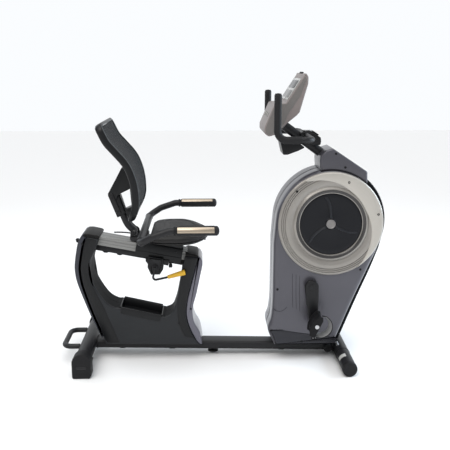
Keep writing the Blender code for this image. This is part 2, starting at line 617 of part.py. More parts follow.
def make_backrest(mats):
    """The reclining back: curved post, plastic bracket, rim and mesh."""
    centre = smooth([(RECLINE_X, RECLINE_Z), (-0.4515, 0.637), (-0.474, 0.690), (-0.497, 0.757)], 3)
    path = [(x, 0, z) for x, z in centre]
    section = rounded_box_section(BACK_POST_HALF_WIDTH, BACK_POST_HALF_DEPTH, 0.006, 1)
    sweep("backrest_post", path, section, mats["frame"])

    outline = [(-0.5355, 0.776), (-0.499, 0.842), (-0.470, 0.896), (-0.436, 0.912), (-0.4235, 0.895),
               (-0.4130, 0.862), (-0.4060, 0.827), (-0.4035, 0.791), (-0.4045, 0.7515),
               (-0.4120, 0.710), (-0.4200, 0.686), (-0.452, 0.694), (-0.494, 0.668)]
    bracket = plate("backrest_bracket", outline, -0.032, 0.032, mats["cover"], 0.003)
    hole = [(-0.434, 0.801), (-0.482, 0.777), (-0.460, 0.706), (-0.4285, 0.720)]
    cut(bracket, plate("bracket_window", hole, -0.06, 0.06, None))
    past_end = Vector(path[-1]) + Vector((-0.0004, 0, 0.001))
    section = rounded_box_section(BACK_POST_HALF_WIDTH + GAP, BACK_POST_HALF_DEPTH + GAP, 0.006, 1)
    cut(bracket, sweep("post_socket", [*path[:-1], past_end], section, None))
    bar_space = [(-0.445, 0.672), (-0.380, 0.672), (-0.380, 0.709), (-0.436, 0.7085)]
    cut(bracket, plate("bar_space", bar_space, -0.06, 0.06, None))

    profile = smooth([(-0.532, 1.080), (-0.507, 1.030), (-0.473, 0.990), (-0.439, 0.951),
                      (-0.4165, 0.915), (-0.3995, 0.868), (-0.3915, 0.827), (-0.3885, 0.791),
                      (-0.3895, 0.751), (-0.400, 0.712)], 2)
    right = [(x, -BACK_HALF_WIDTH + 0.005, z) for x, z in profile]
    corner_low = [(-0.408, -0.181, 0.697), (-0.412, -0.160, 0.689)]
    corner_high = [(-0.537, -0.160, 1.098), (-0.538, -0.183, 1.092)]
    half_path = corner_high + right + corner_low
    path = half_path + [(x, -y, z) for x, y, z in half_path[::-1]]
    frame_section = [(-0.007, -0.021), (0.005, -0.021), (0.008, -0.016), (0.008, 0.005),
                     (0.004, 0.009), (-0.007, 0.009)]
    back_frame(path, frame_section, mats["cover"])

    mesh_side = BACK_HALF_WIDTH - 0.019
    middle = [(-0.5330, 1.0830), *profile[1:-2], (-0.4010, 0.7130)]
    low_edge = [(x - 0.0025, z - 0.001) for x, z in middle]
    high_edge = [(x + 0.0025, z + 0.001) for x, z in middle]
    plate("backrest_mesh", high_edge + low_edge[::-1], -mesh_side, mesh_side, mats["mesh"])


def back_frame(path, section, mat):
    """The closed rim of the back: the section's first axis points out from the middle."""
    middle = Vector((-0.45, 0, 0.89))
    pts = [Vector(p) for p in path]
    rings = []
    for i, here in enumerate(pts):
        tangent = (pts[(i + 1) % len(pts)] - pts[i - 1]).normalized()
        face = Vector((cos(radians(30)), 0, sin(radians(30))))
        out = tangent.cross(face).normalized()
        if out.dot(here - middle) < 0:
            out = -out
        forward = out.cross(tangent).normalized()
        if forward.x < 0:
            forward = -forward
        rings.append([here + out * u + forward * v for u, v in section])
    loft("backrest_frame", rings, mat, closed=True)


# ---------------------------------------------------------------- drive
def make_drive(mats):
    """Crank axle with its pulley, arms, pedals and straps, flywheel and belt."""
    centre = (CRANK_X, 0, CRANK_Z)
    wide = CRANK_OUTER_Y + 0.001
    rim, web = PULLEY_RADIUS, BELT_HALF_WIDTH + 0.002
    profile = [(0, -wide), (0.0100, -wide), (0.0100, -0.052), (0.020, -0.052),
               (0.020, BELT_Y - 0.004), (rim - 0.012, BELT_Y - web), (rim, BELT_Y - web),
               (rim, BELT_Y + web), (rim - 0.012, BELT_Y + web), (0.020, BELT_Y + 0.002),
               (0.020, 0.052), (0.0100, 0.052), (0.0100, wide), (0, wide)]
    turned("crank_axle", profile, centre, mats["steel"], 24, closed=False)

    for name, sign in both_sides():
        make_crank_arm(name, sign, mats)
        make_pedal(name, sign, mats)

    small, y = SMALL_PULLEY_RADIUS, BELT_Y
    half, disc = FLYWHEEL_HALF_WIDTH, FLYWHEEL_RADIUS
    profile = [(0, -0.072), (0.008, -0.072), (0.008, y - 0.012), (small + 0.003, y - 0.012),
               (small, y - 0.009), (small, y + 0.009), (small + 0.003, y + 0.011), (0.026, -0.006),
               (disc - 0.030, -0.006), (disc - 0.028, -half), (disc, -half), (disc, half),
               (disc - 0.028, half), (disc - 0.030, 0.006), (0.026, 0.006), (0.008, 0.018),
               (0.008, 0.072), (0, 0.072)]
    turned("flywheel", profile, (RING_X, 0, RING_Z), mats["iron"], 24, closed=False)
    make_belt(mats)


def make_crank_arm(name, sign, mats):
    """A crank arm: the right one hangs down and the left one stands up."""
    lean = CRANK_LEAN
    along = Vector((sin(lean), -cos(lean))) * -sign
    across = Vector((-along.y, along.x))
    start = Vector((CRANK_X, CRANK_Z))
    end = start + along * CRANK_LENGTH
    big, small = 0.0315, 0.0225
    outline = []
    for i in range(9):
        turn = pi / 2 + pi * i / 8
        outline.append(tuple(start + along * big * cos(turn) + across * big * sin(turn)))
    for i in range(9):
        turn = -pi / 2 + pi * i / 8
        outline.append(tuple(end + along * small * cos(turn) + across * small * sin(turn)))
    low, high = sorted((sign * CRANK_INNER_Y, sign * CRANK_OUTER_Y))
    arm = plate(f"crank_arm_{name}", outline, low, high, mats["crank"], 0.003)
    bore = sign * 0.13
    cut(arm, drum(f"axle_bore_{name}", 0.0100 + GAP, bore - 0.02, bore + 0.02, CRANK_X, CRANK_Z,
                  None, 24, 0.001))
    cut(arm, drum(f"spindle_bore_{name}", 0.0070 + GAP, bore - 0.02, bore + 0.02, end.x, end.y,
                  None, 12, 0.001))


def pedal_centre(sign):
    """The pedal spindle's place on one side."""
    reach = CRANK_LENGTH * -sign
    return Vector((CRANK_X + sin(CRANK_LEAN) * reach, sign * PEDAL_Y, CRANK_Z - cos(CRANK_LEAN) * reach))


def make_pedal(name, sign, mats):
    """A weighted platform pedal with a strap looped over its sole side."""
    centre = pedal_centre(sign)
    half_width = 0.044
    body = [(-0.014, -0.050), (0.008, -0.052), (0.012, -0.044), (0.014, 0.036), (0.006, 0.050),
            (-0.010, 0.048), (-0.022, 0.020), (-0.024, -0.020)]
    turn = radians(-24)

    def placed(points):
        """Turn the pedal's own outline to its hanging angle."""
        return [(centre.x + u * cos(turn) - v * sin(turn), centre.z + u * sin(turn) + v * cos(turn))
                for u, v in points]

    low, high = centre.y - half_width, centre.y + half_width
    pedal = plate(f"pedal_{name}", placed(body), low, high, mats["pedal"], 0.004)
    inner = sign * (CRANK_INNER_Y + 0.002)
    spindle = drum(f"spindle_{name}", 0.0070, *sorted((inner, centre.y + sign * half_width / 2)),
                   centre.x, centre.z, None, 12, 0.001)
    join(pedal, spindle)

    loop = smooth([(0.0100, 0.0445), (0.030, 0.047), (0.054, 0.034), (0.068, 0.008),
                   (0.064, -0.018), (0.044, -0.040), (0.0135, -0.0465)], 2)
    outer = [Vector(p) for p in loop]
    thin = inset([*loop, (0.012, 0.0)], 0.0030)[:-1]
    thin = [Vector(p) for p in thin]
    strap = placed([tuple(p) for p in outer] + [tuple(p) for p in thin[::-1]])
    plate(f"pedal_strap_{name}", strap, centre.y - 0.016, centre.y + 0.016, mats["strap"])
    cut(bpy.data.objects[f"pedal_strap_{name}"],
        plate(f"pedal_space_{name}", placed(inset(body, -GAP)), low - 0.01, high + 0.01, None))


def make_belt(mats):
    """The flat belt around the crank pulley and the flywheel's small pulley."""
    a = Vector((CRANK_X, CRANK_Z))
    b = Vector((RING_X, RING_Z))
    gap = b - a
    facing = atan2(gap.y, gap.x)

    def loop(extra):
        """The belt's line at a given distance from the pulleys."""
        big, small = PULLEY_RADIUS + extra, SMALL_PULLEY_RADIUS + extra
        open_angle = asin((big - small) / gap.length)
        start = facing + pi / 2 - open_angle
        points = []
        for i in range(17):
            turn = start + (pi + 2 * open_angle) * i / 16
            points.append((a.x + big * cos(turn), a.y + big * sin(turn)))
        for i in range(9):
            turn = start + pi + 2 * open_angle + (pi - 2 * open_angle) * i / 8
            points.append((b.x + small * cos(turn), b.y + small * sin(turn)))
        return points

    inner, outer = loop(4 * GAP), loop(4 * GAP + BELT_THICKNESS)
    low, high = BELT_Y - BELT_HALF_WIDTH, BELT_Y + BELT_HALF_WIDTH
    rings = [at_y(inner, low), at_y(inner, high), at_y(outer, high), at_y(outer, low)]
    loft("drive_belt", rings, mats["rubber"], closed=True)


# ---------------------------------------------------------------- pod
def pod_outline():
    """The pod's side view: a round head on a body that narrows towards the beam."""
    head = arc(POD_X, POD_Z, POD_RADIUS, -12, 174, 18)
    left = smooth([(0.2130, 0.560), (0.2120, 0.400), (0.2115, 0.280), (0.2055, 0.205), (0.1930, 0.165),
                   (0.1950, 0.135), (0.2120, 0.095), (0.2230, POD_BOTTOM)], 1)
    right = [(0.5200, POD_BOTTOM), (0.5330, 0.098), (0.6010, 0.272), (0.6580, 0.4075), (0.7040, 0.515)]
    return head + left + right


def neck_outline(spread=0.0):
    """The neck cover's side view: its foot follows the ring's upper edge."""
    points = [(0.4125, 0.936), (0.4455, 0.9815), (0.470, 0.987), (0.628, 0.882)]
    points += arc(RING_X, RING_Z, RING_OUTER + 0.002, 47.65, 102, 9)
    return inset(points[::-1], -spread)


def make_pod(mats):
    """Two half covers around a centre band, each with its ring cover and window."""
    outline = pod_outline()
    band_low, band_high = -POD_BAND_HALF_WIDTH, POD_BAND_HALF_WIDTH
    rim = inset(outline, 0.002)
    inner = inset(rim, POD_BAND_DEPTH)
    rings = [at_y(inner, band_low), at_y(inner, band_high), at_y(rim, band_high), at_y(rim, band_low)]
    band = loft("pod_band", rings, mats["cover"], closed=True)
    cut(band, plate("neck_space_band", neck_outline(2 * GAP), -0.05, 0.05, None))
    cut(band, block("mast_space_band", (0.460, -0.05, 0.86), (0.560, 0.05, 0.93), None, 0))
    for name, sign in both_sides():
        cover = half_shell(f"pod_cover_{name}", outline, sign * (POD_BAND_HALF_WIDTH + GAP),
                           sign * POD_FACE_Y, mats["pod"], POD_WALL, POD_EDGE_ROUND, 2)
        middle = sign * POD_FACE_Y
        cut(cover, plate(f"neck_space_{name}", neck_outline(2 * GAP), -0.12, 0.12, None))
        cut(cover, drum(f"window_hole_{name}", WINDOW_RADIUS + 0.006, middle - 0.02, middle + 0.02,
                        RING_X, RING_Z, None, 32, 0.001))
        cut(cover, drum(f"axle_hole_{name}", 0.014, middle - 0.02, middle + 0.02,
                        CRANK_X, CRANK_Z, None, 16, 0.001))
        cut(cover, block(f"pedestal_space_{name}", (0.330, -0.038, 0.05), (0.440, 0.038, 0.085), None, 0))
        make_ring_cover(name, sign, mats)


def make_ring_cover(name, sign, mats):
    """The round cover on the pod's side: a dished ring with a window disc in its bezel."""
    face = POD_FACE_Y + GAP
    profile = [(WINDOW_RADIUS, face), (RING_OUTER, face), (RING_OUTER - 0.002, face + 0.006),
               (RING_OUTER - 0.030, RING_FACE_Y - 0.003), (BEZEL_RADIUS + 0.012, face + 0.006),
               (BEZEL_RADIUS - 0.003, RING_FACE_Y), (WINDOW_RADIUS, RING_FACE_Y - 0.006)]
    turned(f"ring_cover_{name}", [(r, sign * y) for r, y in profile], (RING_X, 0, RING_Z),
           mats["ring"], 32)
    outer = WINDOW_RADIUS - GAP
    profile = [(0, face - 0.004), (outer, face - 0.004), (outer, face + 0.0025), (0.045, face),
               (0.0205, face + 0.008), (0, face + 0.008)]
    turned(f"window_{name}", [(r, sign * y) for r, y in profile], (RING_X, 0, RING_Z),
           mats["window"], 32, closed=False)


def make_pod_frame(mats):
    """The welded frame inside the pod: two cheeks on a foot plate, with axle holes."""
    inner, outer, foot = 0.0745, 0.0785, 0.036
    shelf, slot = 0.092, POD_BAND_HALF_WIDTH + 0.0015
    low, over_band = beam_top(0.335) + 2 * GAP, shelf - 0.004
    profile = [(-foot, low), (-slot, low), (-slot, over_band), (slot, over_band), (slot, low),
               (foot, low), (foot, shelf), (outer, shelf), (outer, 0.30), (inner, 0.30),
               (inner, shelf + 0.004), (-inner, shelf + 0.004), (-inner, 0.30), (-outer, 0.30),
               (-outer, shelf), (-foot, shelf)]
    x_rear, x_front = 0.335, 0.435
    frame = loft("pod_frame", [[(x_rear, y, z) for y, z in profile],
                               [(x_front, y, z) for y, z in profile]], mats["frame"])
    cheek = [(x_rear, 0.290), (x_front, 0.290), (0.500, 0.560), (0.520, 0.640), (0.545, 0.840),
             (0.500, 0.872), (0.455, 0.840), (0.430, 0.660), (0.345, 0.420)]
    for name, sign in both_sides():
        y_low, y_high = sorted((sign * inner, sign * outer))
        join(frame, plate(f"cheek_{name}", cheek, y_low, y_high, None))
    for label, x, z, radius in (("crank", CRANK_X, CRANK_Z, 0.0104), ("wheel", RING_X, RING_Z, 0.0084)):
        cut(frame, drum(f"{label}_axle_hole", radius, -0.1, 0.1, x, z, None, 24, 0.001))
    join(frame, drum("mast_cross_tube", 0.016, -outer, outer, 0.505, 0.850, None, 20, 0.001))


# ---------------------------------------------------------------- console
def make_neck_and_mast(mats):
    """The mast with its handlebar clamp, and the cover where it leaves the pod."""
    along = (MAST_HIGH - MAST_LOW).normalized()
    mast = tube("mast", [MAST_LOW, MAST_HIGH], MAST_RADIUS, mats["frame"], 20)
    clamp = [(0.332, 1.0200), (0.384, 0.9950), (0.424, 0.9960), (0.424, 1.030), (0.386, 1.0530),
             (0.340, 1.0560), (0.332, 1.050)]
    join(mast, plate("bar_clamp", clamp, -0.042, 0.042, None, 0.002))
    bore = [(CONSOLE_BAR_X + u, CONSOLE_BAR_Z + v)
            for u, v in circle(CONSOLE_BAR_RADIUS + GAP, 24)]
    cut(mast, plate("clamp_bore", bore, -0.06, 0.06, None))
    outline, half, rim = neck_outline(), NECK_HALF_WIDTH, NECK_ROUND
    neck = plate("neck_cover", outline, -half, half, mats["pod"], rim)
    exit_point = MAST_LOW + along * 0.1075
    join(neck, tube("neck_collar", [exit_point - along * 0.010, exit_point + along * 0.009],
                    MAST_RADIUS + 0.0055, None, 20))
    foot_radius = RING_OUTER + 0.015
    upper = [p for p in inset(outline, NECK_WALL) if hypot(p[0] - RING_X, p[1] - RING_Z) > foot_radius]
    hollow = arc(RING_X, RING_Z, RING_OUTER - 0.03, 102, 60, 6) + upper
    room = half - rim - 0.010
    cut(neck, plate("neck_hollow", hollow, -room, room, None))
    cut(neck, tube("mast_hole", [MAST_LOW - along * 0.1, MAST_HIGH], MAST_RADIUS + 2 * GAP, None, 20))


def make_console_bar(mats):
    """The bent handlebar behind the console, its foam grips and the accessory tray."""
    half = CONSOLE_BAR_HALF_WIDTH
    corners = [
        (0.208, -half, 1.231), (0.208, -half, 1.0385), (CONSOLE_BAR_X, -half, CONSOLE_BAR_Z),
        (CONSOLE_BAR_X, half, CONSOLE_BAR_Z), (0.208, half, 1.0385), (0.208, half, 1.231),
    ]
    path = bend(corners, 0.036, 3)
    tube("console_handlebar", path, CONSOLE_BAR_RADIUS, mats["frame"], 10, (1, 0, 0))
    half_count = len(path) // 2
    for name, points in (("right", path[:half_count]), ("left", path[:half_count - 1:-1])):
        sleeve(f"console_grip_{name}", points[:6], CONSOLE_GRIP_RADIUS, CONSOLE_BAR_RADIUS + 2 * GAP,
               mats["grip"], 10)
    outline = [(0.240, 1.010), (0.253, 0.956), (0.272, 0.956), (0.317, 0.972), (0.350, 0.988),
               (0.326, 1.0055), (0.290, 1.008)]
    half = TRAY_HALF_WIDTH
    tray = plate("accessory_tray", outline, -half, half, mats["cover"])
    cavity = [(0.2405, 1.022), (0.2560, 0.960), (0.272, 0.9600), (0.317, 0.976), (0.338, 0.987),
              (0.322, 0.998), (0.310, 1.022)]
    cut(tray, plate("tray_pocket", cavity, -half + TRAY_WALL, half - TRAY_WALL, None))


def make_console(mats):
    """The console housing with its slanted panel and three sprung keys."""
    outline = [(0.326, 1.300), (0.252, 1.186), (0.203, 1.183), (0.161, 1.085), (0.161, 1.058),
               (0.180, 1.044), (0.206, 1.051), (0.258, 1.101), (0.300, 1.135), (0.312, 1.148),
               (0.346, 1.268), (0.347, 1.296), (0.334, 1.316)]
    half = CONSOLE_HALF_WIDTH
    housing = plate("console_housing", outline, -half, half, mats["console"], 0.006)
    inner = inset(outline, 0.004)
    cut(housing, plate("console_hollow", inner, -half + 0.004, half - 0.004, None))
    top, low = Vector((0.3182, 1.2880)), Vector((0.2600, 1.1983))
    slope = (low - top).normalized()
    out = Vector((slope.y, -slope.x))
    if out.x > 0:
        out = -out
    depth, proud = 0.010, 0.002
    opening = [top + out * depth, low + out * depth, low - out * depth, top - out * depth]
    half = SCREEN_HALF_WIDTH
    cut(housing, plate("screen_opening", [tuple(p) for p in opening], -half, half, None))
    sunk = SCREEN_THICKNESS - proud
    high_edge, low_edge = top + slope * GAP, low - slope * GAP
    panel = [high_edge + out * proud, low_edge + out * proud, low_edge - out * sunk, high_edge - out * sunk]
    plate("console_screen", [tuple(p) for p in panel], -half + GAP, half - GAP, mats["screen"], 0.001)

    width, slack = KEY_WIDTH / 2, 2 * GAP
    for index, y in enumerate((-0.06, 0.0, 0.06), 1):
        slot = key_outline(slack, 0.010, 0.010)
        cut(housing, plate(f"key_slot_{index}", slot, y - width - slack, y + width + slack, None))
        key = key_outline(0, 0.006, 0.0022)
        plate(f"console_key_{index}", key, y - width, y + width, mats["key"], 0.0008)


def key_outline(grow, inside, outside):
    """A key's side view, standing on the middle of the console's lower face."""
    face_low, face_high = Vector((0.161, 1.085)), Vector((0.203, 1.183))
    along = (face_high - face_low).normalized()
    out = Vector((-along.y, along.x))
    middle = (face_low + face_high) / 2
    reach = along * (KEY_HEIGHT / 2 + grow)
    corners = (middle - reach - out * inside, middle + reach - out * inside,
               middle + reach + out * outside, middle - reach + out * outside)
    return [tuple(p) for p in corners]


# ---------------------------------------------------------------- the whole machine
def build():
    """Clear the scene and model every sub-part."""
    for obj in list(bpy.data.objects):
        bpy.data.objects.remove(obj, do_unlink=True)
    mats = {
        "frame": material("black_powder_coat", (0.018, 0.018, 0.020), 0.45),
        "cover": material("black_plastic", (0.015, 0.016, 0.018), 0.40),
        "cap": material("dark_cap_plastic", (0.055, 0.050, 0.048), 0.45),
        "trim": material("grey_trim_plastic", (0.17, 0.17, 0.19), 0.35),
        "rubber": material("black_rubber", (0.012, 0.012, 0.013), 0.70),
        "rail": material("rail_aluminium", (0.45, 0.45, 0.42), 0.38, 0.9),
        "steel": material("zinc_steel", (0.55, 0.55, 0.56), 0.30, 1.0),
        "iron": material("cast_iron", (0.10, 0.10, 0.11), 0.45, 0.9),
        "pod": material("metallic_grey", (0.095, 0.092, 0.105), 0.32, 0.2),
        "ring": material("silver_champagne", (0.52, 0.48, 0.43), 0.28, 0.5),
        "window": material("smoked_window", (0.012, 0.013, 0.018), 0.15),
        "crank": material("crank_black", (0.013, 0.014, 0.016), 0.38),
        "pedal": material("pedal_plastic", (0.020, 0.020, 0.022), 0.50),
        "strap": material("grey_strap", (0.32, 0.31, 0.30), 0.55),
        "vinyl": material("black_vinyl", (0.022, 0.021, 0.021), 0.60),
        "pan": material("seat_pan_plastic", (0.018, 0.018, 0.018), 0.50),
        "mesh": material("mesh_fabric", (0.045, 0.053, 0.063), 0.85),
        "grip": material("foam_grip", (0.020, 0.020, 0.022), 0.75),
        "yellow": material("yellow_grip", (0.74, 0.47, 0.06), 0.45),
        "console": material("warm_grey_plastic", (0.19, 0.175, 0.170), 0.45),
        "screen": material("console_glass", (0.012, 0.013, 0.015), 0.12),
        "key": material("key_rubber", (0.32, 0.31, 0.29), 0.55),
    }
    make_base(mats)
    make_seat_support(mats)
    make_carriage(mats)
    make_lever(mats)
    make_backrest(mats)
    make_drive(mats)
    make_pod(mats)
    make_pod_frame(mats)
    make_neck_and_mast(mats)
    make_console_bar(mats)
    make_console(mats)
    for obj in bpy.data.objects:
        obj.location.x -= ORIGIN_X


build()
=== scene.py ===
"""The looks of a recumbent exercise bike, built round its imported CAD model.

Metres, +Z up, +X towards the pedals.  Outlines are (x, z) pairs measured from
the bike's own datum, many of them written in millimetres with mm().  Every
vertex is moved by SHIFT into the frame that the CAD model uses.
"""

from math import cos, pi, radians, sin

import bmesh
import bpy
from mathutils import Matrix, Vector
from mathutils.bvhtree import BVHTree


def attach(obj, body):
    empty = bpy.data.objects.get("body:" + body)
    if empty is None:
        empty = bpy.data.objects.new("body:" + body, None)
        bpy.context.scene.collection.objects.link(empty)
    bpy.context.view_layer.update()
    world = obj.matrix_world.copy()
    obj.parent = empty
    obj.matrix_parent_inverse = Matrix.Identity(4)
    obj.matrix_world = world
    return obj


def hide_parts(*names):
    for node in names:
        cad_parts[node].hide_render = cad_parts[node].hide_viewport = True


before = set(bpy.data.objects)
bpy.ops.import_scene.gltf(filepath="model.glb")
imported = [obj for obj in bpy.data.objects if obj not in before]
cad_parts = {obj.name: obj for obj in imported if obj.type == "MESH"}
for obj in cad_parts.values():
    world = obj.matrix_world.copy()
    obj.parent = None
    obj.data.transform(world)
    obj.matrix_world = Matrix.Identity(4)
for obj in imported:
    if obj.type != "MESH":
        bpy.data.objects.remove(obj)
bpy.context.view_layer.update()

SHIFT = Vector((0.0135, 0.0, 0.0))
SIDES = (("right", -1), ("left", 1))


# ---------------------------------------------------------------- materials
RELIEF = 0.0006


def fill(node, values):
    """Set the node's inputs, each by its name or number."""
    for key, value in values.items():
        node.inputs[key].default_value = value


def add_node(tree, kind, values=None):
    """A new shader node with the given input values."""
    node = tree.nodes.new("ShaderNode" + kind)
    fill(node, values or {})
    return node


def blend(tree, factor, first, second, target):
    """Feed the target with a mix of two colours."""
    tint = tree.nodes.new("ShaderNodeMix")
    tint.data_type = "RGBA"
    fill(tint, {6: (*first, 1), 7: (*second, 1)})
    tree.links.new(factor, tint.inputs[0])
    tree.links.new(tint.outputs[2], target)


def remap(tree, source, low, high, target):
    """Feed the target with the source stretched from 0..1 to low..high."""
    spread = add_node(tree, "MapRange", {"To Min": low, "To Max": high})
    tree.links.new(source, spread.inputs["Value"])
    tree.links.new(spread.outputs["Result"], target)


def emboss(tree, height, strength, target):
    """Feed the target with a normal that follows the height."""
    bump = add_node(tree, "Bump", {"Strength": strength, "Distance": RELIEF})
    tree.links.new(height, bump.inputs["Height"])
    tree.links.new(bump.outputs["Normal"], target)


def surface(name, colour, rough, metallic=0.0, grain=700.0, depth=0.08, vary=0.1,
            stretch=(1, 1, 1), cells=False, coat=0.0, patch=9.0, spec=0.3):
    """A Principled material: slow colour drift, uneven roughness and a fine grain in relief."""
    mat = bpy.data.materials.new(name)
    mat.use_nodes = True
    tree = mat.node_tree
    shader = tree.nodes["Principled BSDF"]
    fill(shader, {"Metallic": metallic, "Coat Weight": coat, "Specular IOR Level": spec,
                  "Coat Roughness": 0.12})
    place = add_node(tree, "TexCoord")
    mapping = add_node(tree, "Mapping", {"Scale": stretch})
    tree.links.new(place.outputs["Object"], mapping.inputs["Vector"])
    slow = add_node(tree, "TexNoise", {"Scale": patch, "Detail": 4.0})
    tree.links.new(place.outputs["Object"], slow.inputs["Vector"])
    blend(tree, slow.outputs["Fac"], [c * (1 - vary) for c in colour],
          [min(1, c * (1 + vary)) for c in colour], shader.inputs["Base Color"])
    if cells:
        fine = add_node(tree, "TexVoronoi", {"Scale": grain})
        height = fine.outputs["Distance"]
    else:
        fine = add_node(tree, "TexNoise", {"Scale": grain, "Detail": 2.0})
        height = fine.outputs["Fac"]
    tree.links.new(mapping.outputs["Vector"], fine.inputs["Vector"])
    remap(tree, height, max(0.02, rough - 0.07), min(1.0, rough + 0.07), shader.inputs["Roughness"])
    emboss(tree, height, depth, shader.inputs["Normal"])
    return mat


def weave(name, dark, light, pitch, cover):
    """An open woven net: crossing threads in relief, with the gaps between them partly clear."""
    mat = surface(name, light, 0.75, grain=900, depth=0.0)
    tree = mat.node_tree
    shader = tree.nodes["Principled BSDF"]
    place = add_node(tree, "TexCoord")
    crossed = add_node(tree, "Math")
    crossed.operation = "MAXIMUM"
    for n, axis in enumerate(("Y", "Z")):
        wave = add_node(tree, "TexWave", {"Scale": 0.314 / pitch, "Distortion": 0.3})
        wave.bands_direction = axis
        tree.links.new(place.outputs["Object"], wave.inputs["Vector"])
        tree.links.new(wave.outputs["Fac"], crossed.inputs[n])
    threads = crossed.outputs[0]
    blend(tree, threads, dark, light, shader.inputs["Base Color"])
    remap(tree, threads, cover, 1.0, shader.inputs["Alpha"])
    emboss(tree, threads, 0.5, shader.inputs["Normal"])
    return mat


COAT = surface("powder_coat", (0.012, 0.012, 0.0135), 0.45, grain=420, depth=0.2)
COVER = surface("cover_plastic", (0.0042, 0.0046, 0.0055), 0.36, grain=900, depth=0.1)
COVER_SOFT = surface("cover_plastic_lower", (0.0165, 0.018, 0.0205), 0.46, grain=900, depth=0.12)
# Inside faces of the hollow covers: the same black plastic made darker and less shiny, as painted shade.
LINER_SHADE = surface("cover_inside_painted_shade", (0.004, 0.0044, 0.0052), 0.62, grain=900, depth=0.1, spec=0.08)
CAP = surface("cap_plastic", (0.009, 0.0085, 0.0085), 0.5, grain=800, depth=0.15, spec=0.16)
TRIM = surface("trim_paint", (0.125, 0.122, 0.15), 0.3, 0.35, grain=2600, depth=0.03, coat=0.35)
TRIM_DARK = surface("rear_trim_paint", (0.034, 0.036, 0.046), 0.34, 0.3, grain=2600, depth=0.03, coat=0.2)
RUBBER = surface("rubber", (0.007, 0.007, 0.008), 0.68, grain=330, depth=0.25)
RAIL = surface("rail_aluminium", (0.245, 0.245, 0.238), 0.38, 0.6, grain=60, depth=0.1,
               stretch=(1, 22, 22))
STEEL = surface("zinc_steel", (0.5, 0.5, 0.51), 0.28, 1.0, grain=240, depth=0.06)
IRON = surface("cast_iron", (0.09, 0.09, 0.1), 0.45, 0.9, grain=260, depth=0.2)
POD = surface("pod_paint", (0.088, 0.086, 0.1), 0.34, 0.4, grain=2400, depth=0.03, coat=0.25)
# The pod's grey darkened as painted shade: on the lower skirt that turns inward, and in the groove and
# crease lines drawn as dark beads.
POD_SHADE = surface("pod_painted_shade", (0.026, 0.026, 0.032), 0.36, 0.35, grain=2400, depth=0.03, coat=0.15)
BAND = surface("band_black", (0.003, 0.0035, 0.0045), 0.46, grain=1200, depth=0.02, spec=0.12)
# The ring's champagne paint darkened as painted shade inside the raised crescent; the crescent gets a
# lighter copy of the same paint as a painted highlight.
RING = surface("ring_paint_and_shade", (0.29, 0.272, 0.25), 0.32, 0.4, grain=2400, depth=0.03, coat=0.2)
CRESCENT_HIGHLIGHT = surface("crescent_paint_and_highlight", (0.47, 0.445, 0.405), 0.32, 0.25, grain=2400, depth=0.02, coat=0.3)
BEZEL = surface("bezel_gloss", (0.05, 0.047, 0.046), 0.28, 0.4, grain=1800, depth=0.02, coat=0.3)
HUB = surface("hub_cap", (0.21, 0.2, 0.195), 0.35, 0.3, grain=1500, depth=0.03, coat=0.2)
WINDOW = surface("smoked_window", (0.0045, 0.005, 0.0075), 0.24, grain=1500, depth=0.02, coat=0.08, spec=0.2)
CRANK = surface("crank_coat", (0.0065, 0.0065, 0.0075), 0.34, grain=500, depth=0.12)
PEDAL = surface("pedal_plastic", (0.008, 0.008, 0.009), 0.52, grain=700, depth=0.2, spec=0.16)
STRAP = surface("strap_rubber", (0.3, 0.3, 0.3), 0.55, grain=500, depth=0.15)
VINYL = surface("seat_vinyl", (0.0115, 0.0105, 0.0105), 0.52, grain=420, depth=0.4, cells=True)
PAN = surface("pan_plastic", (0.01, 0.0095, 0.0095), 0.48, grain=700, depth=0.15)
FOAM = surface("grip_foam", (0.0095, 0.0095, 0.0105), 0.62, grain=900, depth=0.35, cells=True)
YELLOW = surface("lever_grip", (0.72, 0.42, 0.035), 0.4, grain=700, depth=0.1)
CONSOLE = surface("console_plastic", (0.205, 0.178, 0.172), 0.42, grain=900, depth=0.12)
CONSOLE_FACE = surface("console_face", (0.15, 0.14, 0.134), 0.42, grain=900, depth=0.1)
SCREEN = surface("console_glass", (0.3, 0.3, 0.285), 0.2, grain=1200, depth=0.01, coat=0.4)
KEY = surface("key_rubber", (0.29, 0.28, 0.26), 0.55, grain=600, depth=0.1)
STRIP = surface("pulse_strip", (0.43, 0.36, 0.28), 0.32, 0.75, grain=70, depth=0.05, stretch=(1, 20, 20))
STITCH = surface("piping", (0.12, 0.135, 0.145), 0.6, grain=500, depth=0.3)
ARM = surface("fan_arm", (0.02, 0.021, 0.025), 0.4, grain=900, depth=0.05, spec=0.2)
BLANK = surface("blank_label", (0.5, 0.5, 0.48), 0.5, grain=300, depth=0.05)
MESH = weave("mesh_fabric", (0.0035, 0.0042, 0.005), (0.019, 0.022, 0.026), 0.003, 0.66)


# ---------------------------------------------------------------- outlines and paths
def arc(centre_x, centre_z, radius, start, end, steps):
    """Points on a circular arc; the angles are in degrees."""
    turn = radians(end - start) / steps
    first = radians(start)
    return [(centre_x + radius * cos(first + turn * i), centre_z + radius * sin(first + turn * i))
            for i in range(steps + 1)]


def mm(*points):
    """Points given in millimetres, as a list in metres."""
    return [tuple(value / 1000 for value in point) for point in points]


def smooth(points, steps=6):
    """A Catmull-Rom curve through the points, open at both ends."""
    pts = [Vector(p) for p in points]
    ext = [2 * pts[0] - pts[1], *pts, 2 * pts[-1] - pts[-2]]
    out = []
    for a, b, c, d in zip(ext, ext[1:], ext[2:], ext[3:]):
        for i in range(steps):
            t = i / steps
            out.append(0.5 * (2 * b + (c - a) * t + (2 * a - 5 * b + 4 * c - d) * t * t
                              + (3 * b - a - 3 * c + d) * t ** 3))
    out.append(pts[-1])
    return [tuple(p) for p in out]


